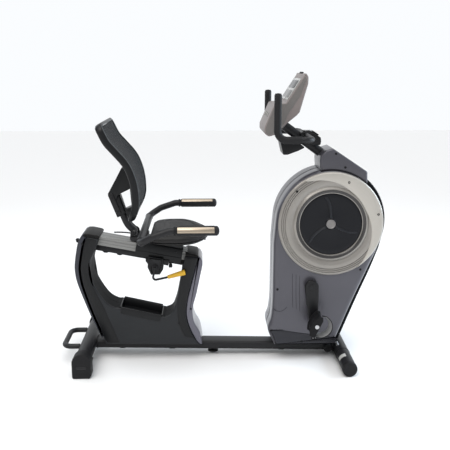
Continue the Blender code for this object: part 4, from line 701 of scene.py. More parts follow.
def make_seat():
    """Carriage, seat pan, cushion with its seam, the side handlebar and its grips."""
    half, wall, top, low = 0.068, 0.0165, 0.034, -0.04
    side = [(half - wall, 0.0215), (half - wall, low + 0.002), (half - wall + 0.002, low),
            (half - 0.003, low), (half, low + 0.003), (half, -0.01), (half - 0.0012, -0.0085),
            (half - 0.0012, -0.007), (half, -0.0055), (half, top - 0.01), (half - 0.003, top - 0.003),
            (half - 0.01, top)]
    section = side + [(-u, v) for u, v in side[::-1]]
    piece(sweep("carriage_look", [on_rail(0.178), on_rail(0.39)], section, COVER, crease=25), "seat",
          "black_plastic", "seat_carriage")
    front_top, back_top = on_rail(0.386, 0.03), on_rail(0.253, 0.03)
    wedge = rounded([(back_top.x, back_top.z), (front_top.x, front_top.z), (front_top.x, 0.558),
                     (back_top.x, 0.564)], 0.006)
    piece(slab("seat_wedge", wedge, -0.06, 0.06, COVER, 0.004), "seat", "black_plastic")
    hexagon = rounded(mm((-354, 500), (-359, 450), (-344, 415), (-303, 415), (-288, 440),
                         (-286.5, 490)), 0.004)
    piece(slab("lever_housing", hexagon, -0.088, -0.036, COVER, 0.003), "seat", "black_plastic")
    shoe = rounded(mm((-368, 490), (-368, 474.6), (-355.7, 458.9), (-290.7, 458.4), (-265.8, 453),
                      (-260.6, 468.5), (-260.7, 480)), 0.003)
    piece(slab("lever_shoe", shoe, -0.074, -0.031, COVER, 0.002), "seat", "black_plastic")
    piece(slab("lever_housing_lid", inset(hexagon, 0.008), -0.0895, -0.087, COAT, 0.001), "seat",
          "black_plastic")
    block = rounded(mm((-436, 566.5), (-372, 554.5), (-356, 556), (-356, 592), (-392, 596), (-402, 582),
                       (-440, 580)), 0.004)
    piece(slab("bar_mount", block, -0.048, 0.048, COAT, 0.002), "seat", "black_plastic")
    ear = rounded(mm((-440, 574), (-396, 574), (-402, 606), (-412, 616), (-426, 615), (-436, 604)), 0.006)
    for name, sign in SIDES:
        piece(side_slab(f"hinge_ear_{name}", ear, 0.0305, 0.037, sign, COAT, 0.0012), "seat",
              "black_plastic")
        hex_bolt(f"hinge_bolt_{name}", (-0.418, sign * 0.0372, 0.6), (0, sign, 0), COAT, 0.0075, "seat")
        for n, spot in enumerate((0.205, 0.36)):
            screw(f"carriage_screw_{name}_{n}", on_rail(spot, 0.012, sign * 0.068), (0, sign, 0), COAT,
                  0.0055, "seat")
    lock = mm((0, -12), (8.5, -12), (8.5, 0), (6.5, 2), (6.5, 10), (0, 11))
    piece(turned("lock_plunger", lock, (-0.256, -0.05, 0.452), COAT, 28, (0, 0, 1)), "seat",
          "black_powder_coat")

    rings = [seat_plan(0.085, 0.565, 0, 3), seat_plan(0.06, 0.566, 0.001, 3),
             seat_plan(0.035, 0.571, 0.006, 3), seat_plan(0.018, 0.5775, 0.004, 3),
             seat_plan(0.0095, 0.5815, 0, 3), seat_plan(0.008, 0.585, 0, 3)]
    piece(loft("seat_pan_look", rings, PAN, crease=50), "seat", "seat_pan_plastic", "seat_pan")
    tab = rounded(mm((-112, 561.5), (-94, 560), (-94, 572), (-112, 573)), 0.002)
    piece(slab("pan_tab", tab, -0.022, 0.022, PAN, 0.002), "seat", "seat_pan_plastic")
    low = 0.5856
    rings = [seat_plan(shrink, low + height, fall, 3) for shrink, height, fall in mm(
        (16, 0, 0), (6, 3, 0), (3, 12, 0), (6, 22, 9), (16, 31, 17), (34, 36, 21), (60, 38, 23))]
    cushion = loft("cushion_look", rings, VINYL, crease=80)
    inflate(cushion)
    bpy.context.view_layer.objects.active = cushion
    finer = cushion.modifiers.new("finer", "SUBSURF")
    finer.levels = finer.render_levels = 1
    bpy.ops.object.modifier_apply(modifier="finer")
    cushion.data.shade_smooth()
    piece(cushion, "seat", "black_vinyl", "seat_cushion")
    tree = BVHTree.FromPolygons([v.co for v in cushion.data.vertices],
                                [p.vertices for p in cushion.data.polygons])
    for n, (shrink, height, fall) in enumerate(((0.006, 0.02, 0.008), (0.062, 0.04, 0.023))):
        path = []
        for x, y, z in seat_plan(shrink, low + height, fall, 6):
            spot, normal, _, _ = tree.find_nearest(Vector((x, y, z)) + SHIFT)
            path.append(spot - SHIFT + normal * 0.0003)
        path = [p for p, q in zip(path, path[1:] + path[:1]) if (p - q).length > 0.001]
        seam = tube(f"cushion_seam_{n}", path, 0.0013 if n == 0 else 0.0008, VINYL, 8, (0, 0, 1),
                    closed=True)
        piece(seam, "seat", "black_vinyl")

    half, reach, grip_z = 0.3145, -0.041, 0.671
    corners = [(reach, -half, grip_z), (-0.244, -half, grip_z), (-0.318, -half, 0.646),
               (-0.372, -half + 0.02, 0.613), (-0.372, half - 0.02, 0.613), (-0.318, half, 0.646),
               (-0.244, half, grip_z), (reach, half, grip_z)]
    path = bend(corners, 0.045, 12)
    piece(tube("seat_bar_look", path, 0.0155, COAT, 32, (0, 0, 1)), "seat", "black_powder_coat",
          "seat_handlebar")
    for name, sign in SIDES:
        y = sign * half
        grip = tube(f"seat_grip_{name}_look", [(-0.222, y, grip_z), (-0.13, y, grip_z), (-0.037, y, grip_z)],
                    0.0207, FOAM, 40, (0, 1, 0), dome=True)
        piece(grip, "seat", "foam_grip", f"seat_grip_{name}")
        collar = puck(f"grip_collar_{name}", 0.019, -0.004, 0.004, (-0.2235, y, grip_z), RUBBER, (1, 0, 0),
                      0.0012, 40)
        piece(collar, "seat", "black_rubber")
        for n, (start, end) in enumerate(((-13, 56), (113, 152))):
            bm = bmesh.new()
            rows = []
            for x, lift in ((-0.212, 0.0006), (-0.21, 0.0014), (-0.06, 0.0014), (-0.058, 0.0006)):
                radius = 0.0205 + lift
                turns = [radians(start + (end - start) * i / 14) for i in range(15)]
                rows.append([bm.verts.new((x, y + sign * radius * cos(a), grip_z + radius * sin(a)))
                             for a in turns])
            for first, second in zip(rows, rows[1:]):
                for i in range(len(first) - 1):
                    bm.faces.new((first[i], first[i + 1], second[i + 1], second[i]))
            piece(make(f"pulse_strip_{name}_{n}", bm, STRIP), "seat", "foam_grip")
        joint = puck(f"bar_joint_{name}", 0.0185, -0.0055, 0.0055, (-0.372, sign * 0.258, 0.613), RUBBER,
                     rim=0.0018, sides=40)
        piece(joint, "seat", "black_powder_coat")
    sleeve = puck("bar_sleeve", 0.0172, -0.253, 0.253, (-0.372, 0, 0.613), COAT, rim=0.001, sides=40)
    piece(sleeve, "seat", "black_powder_coat")


def make_lever():
    """The bent release lever and its tapered yellow grip."""
    x, y, z = -0.325, -0.094, 0.451
    path = bend([(x, y, z), (x - 0.012, y, 0.39), (-0.271, y, 0.4045), (-0.224, y, 0.418)], 0.012, 8)
    piece(tube("lever_look", path, 0.005, COAT, 20), "lever", "black_powder_coat", "release_lever")
    piece(puck("lever_hub", 0.012, -0.0057, 0.006, (x, y, z), COAT, rim=0.002, sides=36), "lever",
          "black_powder_coat")
    hex_bolt("lever_bolt", (x, y - 0.006, z), (0, -1, 0), COAT, 0.005, "lever")
    start, end = Vector((-0.2665, y, 0.4058)), Vector((-0.188, y, 0.4283))
    along = (end - start).normalized()
    side = Vector((0, 1, 0))
    up = along.cross(side)
    stations = ((-0.001, 0.007), (0.0, 0.0084), (0.006, 0.009), (0.028, 0.01), (0.054, 0.0114),
                (0.074, 0.0125), (0.079, 0.0125), (0.0808, 0.0115), (0.0816, 0.009))
    rings = []
    for reach, r in stations:
        spot = start + along * reach
        rings.append([spot + side * u * r + up * v * r for u, v in circle(1.0, 32)])
    piece(loft("lever_grip_look", rings, YELLOW, crease=50), "lever", "yellow_grip", "lever_grip")


def make_backrest():
    """The reclining back: post, bracket, rim, mesh and its piping."""
    centre = smooth(mm((-418, 600), (-451.5, 637), (-474, 690), (-497, 757)), 10)
    path = [(x, 0, z) for x, z in centre]
    piece(sweep("back_post_look", path, box_section(0.03, 0.0135, 0.008), COAT), "backrest",
          "black_powder_coat", "backrest_post")
    for n, y in enumerate((-0.02, 0.02)):
        rib = [(x + 0.0108, y, z + 0.0092) for x, z in centre[2:-4]]
        piece(tube(f"post_rib_{n}", rib, 0.0018, COAT, 10), "backrest", "black_powder_coat")
    piece(puck("recline_pivot", 0.011, -0.0375, 0.0375, (-0.418, 0, 0.6), STEEL, rim=0.001, sides=36),
          "backrest", "zinc_steel")

    hole = mm((-434, 801), (-482, 777), (-460, 706), (-428.5, 720))
    upper = rounded([(-0.5355, 0.776), (-0.499, 0.842), (-0.47, 0.896), (-0.436, 0.912), (-0.4235, 0.895),
                     (-0.413, 0.862), (-0.406, 0.827), (-0.4035, 0.798), *hole[:2], (-0.5, 0.745)], 0.006)
    lower = rounded([(-0.5355, 0.776), (-0.5, 0.745), hole[1], hole[2], (-0.452, 0.694), (-0.494, 0.668)],
                    0.004)
    limb = rounded([(-0.4035, 0.8), (-0.4345, 0.803), hole[3], hole[2], (-0.458, 0.697), (-0.447, 0.672),
                    (-0.424, 0.668), (-0.414, 0.69), (-0.414, 0.71), (-0.4045, 0.7515)], 0.004)
    for n, pts in enumerate((upper, lower, limb)):
        part = slab(f"back_bracket_{n}", pts, -0.032, 0.032, COVER, 0.005, 4)
        piece(part, "backrest", "black_plastic", *(("backrest_bracket",) if n == 0 else ()))
    sleeve_box = rounded(mm((-534, 774), (-512, 786), (-474, 690), (-494, 670)), 0.004)
    piece(slab("post_socket", sleeve_box, -0.0355, 0.0355, COAT, 0.003), "backrest", "black_plastic")
    for side, sign in SIDES:
        for n, (x, z) in enumerate(((-0.516, 0.764), (-0.49, 0.7))):
            screw(f"socket_screw_{side}_{n}", (x, sign * 0.0355, z), (0, sign, 0), COAT, 0.0048, "backrest")

    profile = smooth(mm((-532, 1080), (-507, 1030), (-473, 990), (-439, 951), (-416.5, 915), (-399.5, 868),
                        (-391.5, 827), (-388.5, 791), (-389.5, 751), (-400, 712)), 5)
    right = [(x, -0.195, z) for x, z in profile]
    high = [(-0.537, -0.15, 1.0985), (-0.538, -0.172, 1.096), (-0.537, -0.187, 1.09)]
    low = [(-0.4055, -0.186, 0.701), (-0.4095, -0.172, 0.693), (-0.412, -0.15, 0.689)]
    half_path = high + right + low
    path = half_path + [(x, -y, z) for x, y, z in half_path[::-1]]
    pts = [Vector(p) for p in path]
    section = mm((-7, -19.5), (-5, -21), (3, -21), (6.5, -18.5), (8, -13), (8, 2), (6.5, 6.8), (3, 9),
                 (-5, 9), (-7, 7.5))
    face = Vector((cos(radians(30)), 0, sin(radians(30))))
    middle = Vector((-0.45, 0, 0.89))
    rings, inner_line = [], []
    for i, here in enumerate(pts):
        tangent = (pts[(i + 1) % len(pts)] - pts[i - 1]).normalized()
        out = tangent.cross(face).normalized()
        if out.dot(here - middle) < 0:
            out = -out
        forward = out.cross(tangent).normalized()
        if forward.x < 0:
            forward = -forward
        rings.append([here + out * u + forward * v for u, v in section])
        inner_line.append(here - out * 0.0045 + forward * 0.0092)
    piece(loft("back_frame_look", rings, COVER, closed=True, crease=40), "backrest", "black_plastic",
          "backrest_frame")
    piping = tube("back_piping", inner_line, 0.0016, STITCH, 8, (1, 0, 0), closed=True)
    piece(piping, "backrest", "mesh_fabric")

    columns, spine = 40, [(-0.5345, 1.0915), *profile, (-0.4075, 0.696)]
    bm = bmesh.new()
    rows = []
    for j, (x, z) in enumerate(spine):
        t = j / (len(spine) - 1)
        row = []
        for i in range(columns + 1):
            s = 2 * i / columns - 1
            sag = 0.01 * (1 - s * s) * sin(pi * t)
            row.append(bm.verts.new((x - sag + 0.0045, 0.1885 * s, z + 0.002)))
        rows.append(row)
    for first, second in zip(rows, rows[1:]):
        for i in range(columns):
            bm.faces.new((first[i], first[i + 1], second[i + 1], second[i]))
    net = make("back_mesh_look", bm, MESH, 60)
    thick = net.modifiers.new("thick", "SOLIDIFY")
    thick.thickness = 0.0012
    bpy.context.view_layer.objects.active = net
    bpy.ops.object.modifier_apply(modifier="thick")
    piece(net, "backrest", "mesh_fabric", "backrest_mesh")
    for n, (x, z) in enumerate(((-0.4355, 0.935), (-0.409, 0.872))):
        rib = [(x - 0.006, y, z) for y in (-0.19, -0.095, 0, 0.095, 0.19)]
        rib = [(px - 0.01 * (1 - (py / 0.19) ** 2), py, pz) for px, py, pz in rib]
        piece(tube(f"back_rib_{n}", rib, 0.0045, COVER, 12, (1, 0, 0)), "backrest", "black_plastic")
    rod = mm((-509, -50, 606.5), (-470, -50, 606), (-430, -46, 601), (-418, -40, 600))
    piece(tube("recline_rod", smooth(rod, 5), 0.0032, COAT, 14), "backrest", "black_powder_coat")


# ---------------------------------------------------------------- drive
CRANK_X, CRANK_Z, RING_X, RING_Z = 0.385, 0.365, 0.467, 0.65
LEAN = radians(4.0)
ARM_LENGTH, ARM_ROOT, ARM_TIP = 0.15, 0.0315, 0.0225


def make_drive():
    """Crank axle, arms, pedals with straps, flywheel and belt."""
    wide = 0.141
    profile = [(0, -wide), (0.0095, -wide), (0.01, -wide + 0.0005), (0.01, -0.052), (0.02, -0.052),
               (0.02, -0.038), (0.096, -0.043), (0.108, -0.043), (0.108, -0.025), (0.096, -0.025),
               (0.02, -0.032), (0.02, 0.052), (0.01, 0.052), (0.01, wide - 0.0005), (0.0095, wide),
               (0, wide)]
    piece(turned("axle_look", profile, (CRANK_X, 0, CRANK_Z), STEEL, 48), "crank", "zinc_steel",
          "crank_axle")
    y = -0.034
    profile = [(0, -0.072), (0.008, -0.072), (0.008, y - 0.012), (0.021, y - 0.012), (0.018, y - 0.009),
               (0.018, y + 0.009), (0.021, y + 0.011), (0.026, -0.006), (0.095, -0.006), (0.097, -0.012),
               (0.125, -0.012), (0.125, 0.012), (0.097, 0.012), (0.095, 0.006), (0.026, 0.006),
               (0.008, 0.018), (0.008, 0.072), (0, 0.072)]
    piece(turned("flywheel_look", profile, (RING_X, 0, RING_Z), IRON, 64), "flywheel", "cast_iron",
          "flywheel")
    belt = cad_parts["drive_belt"]
    belt.data.materials.clear()
    belt.data.materials.append(RUBBER)
    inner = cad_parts["pod_frame"]
    inner.data.materials.clear()
    inner.data.materials.append(COAT)
    for name, sign in SIDES:
        along = Vector((sin(LEAN), -cos(LEAN))) * -sign
        across = Vector((-along.y, along.x))
        start = Vector((CRANK_X, CRANK_Z))
        end = start + along * ARM_LENGTH
        pts = []
        for spot, radius, first in ((start, ARM_ROOT, pi / 2), (end, ARM_TIP, -pi / 2)):
            for i in range(25):
                turn = first + pi * i / 24
                pts.append(tuple(spot + along * radius * cos(turn) + across * radius * sin(turn)))
        arm = side_slab(f"crank_arm_{name}_look", pts, 0.1215, 0.14, sign, CRANK, 0.0045, 5, 0.0015)
        piece(arm, "crank", "crank_black", f"crank_arm_{name}")
        cap = puck(f"axle_cap_{name}", 0.0145, 0.1395, 0.1425, (CRANK_X, 0, CRANK_Z), CRANK, (0, sign, 0),
                   0.0015, 40)
        piece(cap, "crank", "crank_black")
        make_pedal(name, sign, end)


def make_pedal(name, sign, centre):
    """A weighted platform pedal, its treads and the strap over its sole side."""
    y, half = sign * 0.205, 0.044
    turn = radians(-24)

    def placed(points):
        """Turn the pedal's own outline to its hanging angle."""
        return [(centre.x + u * cos(turn) - v * sin(turn), centre.y + u * sin(turn) + v * cos(turn))
                for u, v in points]

    core = rounded(mm((-10, -46), (4, -48), (8, -42), (10, 34), (3, 46), (-7, 45), (-18, 19),
                      (-20, -18)), 0.004)
    piece(slab(f"pedal_{name}_look", placed(core), y - half + 0.006, y + half - 0.006, PEDAL, 0.003),
          f"pedal_{name}", "pedal_plastic", f"pedal_{name}")
    cage = rounded(mm((-14, -50), (8, -52), (12, -44), (14, 36), (6, 50), (-10, 48), (-22, 20),
                      (-24, -20)), 0.004)
    for n, place in enumerate((-half + 0.004, half - 0.004)):
        rim = slab(f"pedal_cage_{name}_{n}", placed(cage), y + place - 0.004, y + place + 0.004, PEDAL,
                   0.0015)
        piece(rim, f"pedal_{name}", "pedal_plastic")
    for n in range(7):
        v = -0.04 + n * 0.0125
        bar = [(0.0085, v - 0.002), (0.0128, v - 0.0015), (0.0128, v + 0.0015), (0.0085, v + 0.002)]
        tread = slab(f"pedal_tread_{name}_{n}", placed(bar), y - half + 0.007, y + half - 0.007,
                     PEDAL, 0.0008, 2)
        piece(tread, f"pedal_{name}", "pedal_plastic")
    inner = min(abs(y) - half, 0.1235)
    spindle = [(0, inner), (0.0072, inner), (0.0072, 0.14), (0.0105, 0.1402), (0.0105, 0.148),
               (0.007, 0.149), (0.007, 0.23), (0, 0.23)]
    piece(turned(f"spindle_{name}", spindle, (centre.x, 0, centre.y), STEEL, 32, (0, sign, 0)),
          f"pedal_{name}", "pedal_plastic")
    dust = puck(f"pedal_cap_{name}", 0.0095, 0.246, 0.25, (centre.x, 0, centre.y), STEEL, (0, sign, 0),
                0.0012, 32)
    piece(dust, f"pedal_{name}", "pedal_plastic")
    loop = smooth(mm((12.5, 44.5), (30, 47), (54, 34), (68, 8), (64, -18), (44, -40), (14, -46.5)), 8)
    wide, narrow = inset([*loop, (0.012, 0.0)], -0.006)[:-1], inset([*loop, (0.012, 0.0)], 0.004)[:-1]
    wide_in, narrow_in = (inset([*line, (0.012, 0.0)], 0.0026)[:-1] for line in (wide, narrow))
    outer_y, inner_y = y + sign * 0.0175, y - sign * 0.0165
    rings = [at_y(placed(narrow), inner_y), at_y(placed(wide), outer_y), at_y(placed(wide_in), outer_y),
             at_y(placed(narrow_in), inner_y)]
    bm = bmesh.new()
    rows = [[bm.verts.new(p) for p in ring] for ring in rings]
    for first, second in zip(rows, rows[1:] + rows[:1]):
        for i in range(len(first) - 1):
            bm.faces.new((first[i], first[i + 1], second[i + 1], second[i]))
    bm.faces.new([row[0] for row in rows])
    bm.faces.new([row[-1] for row in rows][::-1])
    piece(make(f"pedal_strap_{name}_look", bm, STRAP), f"pedal_{name}", "grey_strap", f"pedal_strap_{name}")
    for n, (line, edge_y) in enumerate(((wide, outer_y), (narrow, inner_y))):
        bead = tube(f"strap_edge_{name}_{n}", at_y(placed(line), edge_y), 0.002, PEDAL, 10, dome=True)
        piece(bead, f"pedal_{name}", "grey_strap")
    tail = mm((40, -43), (30, -62), (12, -72), (4, -66), (10, -54), (20, -46))
    tail = rounded(tail, 0.004)
    flap = slab(f"strap_tail_{name}", placed(tail), y + sign * 0.012 - 0.0012, y + sign * 0.012 + 0.0012,
                PEDAL, 0.0006, 2)
    piece(flap, f"pedal_{name}", "grey_strap")
    for n, spot in enumerate(((0.0145, -0.0625), (0.0235, -0.056))):
        (hole_x, hole_z), = placed([spot])
        eye = puck(f"tail_eye_{name}_{n}", 0.0027, 0.0, 0.0006, (hole_x, y + sign * 0.0132, hole_z), STRAP,
                   (0, sign, 0), 0.0002, 16)
        piece(eye, f"pedal_{name}", "grey_strap")
    for n in range(6):
        spot = Vector(loop[10 + n * 5]) * 1.012
        nxt = Vector(loop[11 + n * 5]) * 1.012
        way = (nxt - spot).normalized()
        out = Vector((-way.y, way.x))
        a, b = placed([tuple(spot), tuple(spot + out)])
        normal = Vector((b[0] - a[0], 0, b[1] - a[1]))
        hole = puck(f"strap_hole_{name}_{n}", 0.0032, 0.0, 0.0007, (a[0], y, a[1]), RUBBER, normal, 0.0002,
                    16)
        piece(hole, f"pedal_{name}", "grey_strap")


# ---------------------------------------------------------------- pod
POD_X, POD_Z, POD_RADIUS = 0.4775, 0.643, 0.2565
POD_FACE, REAR_FACE, NECK_FACE = 0.104, 0.08, 0.088
POD_EDGE_DRAW, BAND_BULGE, BAND_HALF = 0.025, 0.0155, 0.0125


def pod_outline(trim, bulge=0.0):
    """The pod's side view; trim draws its right-hand edge in and bulge pushes its straight part out."""
    head = []
    for i in range(73):
        angle = -12 + 186 * i / 72
        share = min(1, max(0, (105 - angle) / 60))
        radius = POD_RADIUS - trim * share
        head.append((POD_X + radius * cos(radians(angle)), POD_Z + radius * sin(radians(angle))))
    left = smooth(mm((213, 560), (212, 400), (211.5, 280), (205.5, 205), (193, 165), (195, 135), (212, 95),
                     (223, 71)), 6)
    right = [(0.52, 0.071, 1.0), (0.533, 0.098, 1.0), (0.601, 0.272, 1.0), (0.658, 0.4075, 0.9),
             (0.704, 0.515, 0.45)]
    right = [(x - trim + bulge * share, z) for x, z, share in right]
    return head + left + smooth(right, 6)


def neck_outline(spread=0.0):
    """The neck cover's side view, resting on the ring's upper edge."""
    points = mm((415, 954), (439, 978), (470, 987), (628, 882), (630, 830))
    points = points[::-1]
    lower = arc(RING_X, RING_Z, 0.239, 102, 51, 24)
    side = bend([(0.416, 0.893), (0.413, 0.928), *points[::-1]], 0.01, 6)
    return inset((side + lower[::-1])[::-1], -spread)


def cut_away(obj, tool):
    """Subtract the tool from the object for good."""
    change = obj.modifiers.new("cut", "BOOLEAN")
    change.operation = "DIFFERENCE"
    change.solver = "EXACT"
    change.object = tool
    bpy.context.view_layer.objects.active = obj
    bpy.ops.object.modifier_apply(modifier="cut")
    bpy.data.objects.remove(tool, do_unlink=True)
    obj.data.shade_smooth()
    obj.data.set_sharp_from_angle(angle=radians(32))


def make_pod():
    """Side covers, black centre band, the closed front seam, skirts, grooves and screws; skirts, grooves and
    crease line darkened as painted shade.
    """
    cover_line, band_line = pod_outline(POD_EDGE_DRAW), pod_outline(0.0, BAND_BULGE)
    band = slab("pod_band_look", band_line, -BAND_HALF, BAND_HALF, BAND, 0.006, 5)
    cut_away(band, slab("band_tool", neck_outline(0.0008), -0.05, 0.05, BAND, 0.0001, 1))
    piece(band, "frame", "black_plastic", "pod_band")
    seam = [p for p in pod_outline(0.0003) if p[0] < POD_X + POD_RADIUS * cos(radians(104))
            and not (p[1] < 0.1 and p[0] > 0.224)]
    middle = Vector((POD_X, 0.4))
    under = [tuple(Vector(p) + (middle - Vector(p)).normalized() * 0.006) for p in seam]
    piece(slab("pod_front_seam", seam + under[::-1], -0.0212, 0.0212, POD, 0.0004, 2), "frame",
          "metallic_grey")
    skirt = mm((194.5, 156), (195, 135), (212, 95), (223, 72.2), (508.5, 72.2), (523, 98), (530, 118),
               (360, 143), (260, 158))
    for name, sign in SIDES:
        cover = side_slab(f"pod_cover_{name}_look", cover_line, 0.015, POD_FACE, sign, POD, 0.026, 9, 0.006)
        cut_away(cover, slab("pod_tool", neck_outline(0.0008), -0.12, 0.12, POD, 0.0001, 1))
        piece(cover, "frame", "metallic_grey", f"pod_cover_{name}")
        # Lower skirt panel darker than the pod: painted shade where the skirt turns inward.
        panel = side_slab(f"pod_skirt_{name}", inset(rounded(skirt, 0.006), 0.01), 0.1, 0.105, sign, POD_SHADE,
                          0.003, 3)
        piece(panel, "frame", "metallic_grey")
        # Groove lines drawn as thin dark beads: painted shade in the grooves.
        for n, (x, top, low) in enumerate(((0.2996, 0.419, 0.258), (0.316, 0.415, 0.249),
                                           (0.3325, 0.411, 0.24))):
            line = [(x, sign * 0.1038, top), (x + 0.001, sign * 0.1038, (top + low) / 2),
                    (x + 0.004, sign * 0.1038, low)]
            piece(tube(f"pod_groove_{name}_{n}", line, 0.001, POD_SHADE, 8, dome=True), "frame", "metallic_grey")
        # Curved crease drawn as a dark bead: painted shade in the crease.
        swoosh = smooth(mm((215, 252), (229, 242.5), (248, 240), (265, 248), (276.3, 260.6)), 6)
        line = [(x, sign * 0.1035, z) for x, z in swoosh]
        piece(tube(f"pod_swoosh_{name}", line, 0.0014, POD_SHADE, 8, dome=True), "frame", "metallic_grey")
        spots = ((0.6094, 0.4367), (0.232, 0.3453), (0.3484, 0.0919))
        for n, (x, z) in enumerate(spots):
            screw(f"pod_screw_{name}_{n}", (x, sign * (0.104 if n < 2 else 0.105), z), (0, sign, 0), RUBBER,
                  0.0055, slot="metallic_grey")
        make_ring(name, sign)


def make_ring(name, sign):
    """The dished ring with its grooves, raised crescent and smoked window."""
    profile = mm((141, 104.6), (218, 104.6), (218, 80), (228, 80), (235, 100), (236.5, 105.6), (237, 108),
                 (236, 110.5), (233, 113), (229, 114))
    for radius in (0.223, 0.215, 0.207):
        profile += [(radius + 0.0022, 0.1146), (radius + 0.0014, 0.1108), (radius - 0.0004, 0.1108),
                    (radius - 0.0022, 0.1149)]
    profile += mm((196, 115.4), (186, 115), (178, 112.2), (173.5, 109.5), (170.5, 109.2), (166, 114),
                  (162, 117.4), (158.5, 118.3), (156, 118))
    profile += [(0.154, 0.1164), (0.141, 0.113)]
    # The ring in its paint, darkened as painted shade.
    piece(turned(f"ring_{name}_look", profile, (RING_X, 0, RING_Z), RING, 128, (0, sign, 0), closed=True),
          "frame", "silver_champagne", f"ring_cover_{name}")
    bezel = mm((160, 117.6), (157, 118.4), (152, 118.2), (147, 116.2), (142, 112.2), (141.1, 109),
               (144, 108), (159, 112))
    piece(turned(f"bezel_{name}", bezel, (RING_X, 0, RING_Z), BEZEL, 128, (0, sign, 0), closed=True),
          "frame", "silver_champagne")
    edge = smooth([(122, 0.2325), (116, 0.2165), (93, 0.1943), (64, 0.172), (40, 0.165), (20, 0.166),
                   (-8, 0.184), (-32, 0.205), (-52, 0.228), (-58, 0.2325)], 8)
    rings = []
    for angle, inner in edge:
        room = 0.2345 - inner
        soft = min(0.006, room * 0.45)
        profile = [(0.2345, 0.106), (0.2345, 0.1135), (0.2345 - soft * 0.4, 0.1168), (0.2345 - soft, 0.1178),
                   (inner + soft, 0.118), (inner + soft * 0.45, 0.1172), (inner + soft * 0.12, 0.115),
                   (inner, 0.112), (inner, 0.106)]
        rings.append([(RING_X + r * cos(radians(angle)), sign * y, RING_Z + r * sin(radians(angle)))
                      for r, y in profile])
    # The raised crescent, lighter than the ring as a painted highlight.
    piece(loft(f"crescent_{name}", rings, CRESCENT_HIGHLIGHT, crease=50), "frame", "silver_champagne")
    for n, (x, z) in enumerate(((0.3107, 0.8), (0.5404, 0.8402), (0.6774, 0.695))):
        y = 0.1146 if n == 0 else 0.1176
        screw(f"ring_screw_{name}_{n}", (x, sign * y, z), (0, sign, 0), RUBBER, 0.0055,
              slot="silver_champagne")
    window = mm((0, 100.3), (140.7, 100.3), (140.7, 106.8), (138, 107.4), (120, 106.4), (80, 105.2),
                (45, 105), (26, 106.2), (22.5, 109.5), (0, 110))
    piece(turned(f"window_{name}_look", window, (RING_X, 0, RING_Z), WINDOW, 96, (0, sign, 0)), "frame",
          "smoked_window", f"window_{name}")
    hub = mm((0, 110.2), (15, 110.2), (16.5, 111.6), (18.5, 112.2), (20.5, 111.2), (21.2, 108.8),
             (20.5, 106))
    piece(turned(f"hub_{name}", hub, (RING_X, 0, RING_Z), HUB, 48, (0, sign, 0)), "frame",
          "silver_champagne")
    for n in range(3):
        turn = radians(90 + 120 * n)
        spoke = []
        for i in range(9):
            t = i / 8
            reach = 0.024 + 0.104 * t
            angle = turn + 0.22 * t * t
            spoke.append((RING_X + reach * cos(angle), sign * (0.1046 + 0.0016 * (1 - t) + 0.0012 * t),
                          RING_Z + reach * sin(angle)))
        piece(tube(f"spoke_{name}_{n}", spoke, 0.0055, ARM, 12, dome=True), "frame", "smoked_window")


# ---------------------------------------------------------------- console
MAST_LOW, MAST_HIGH = Vector((0.5135, 0.0, 0.898)), Vector((0.262, 0.0, 1.08))


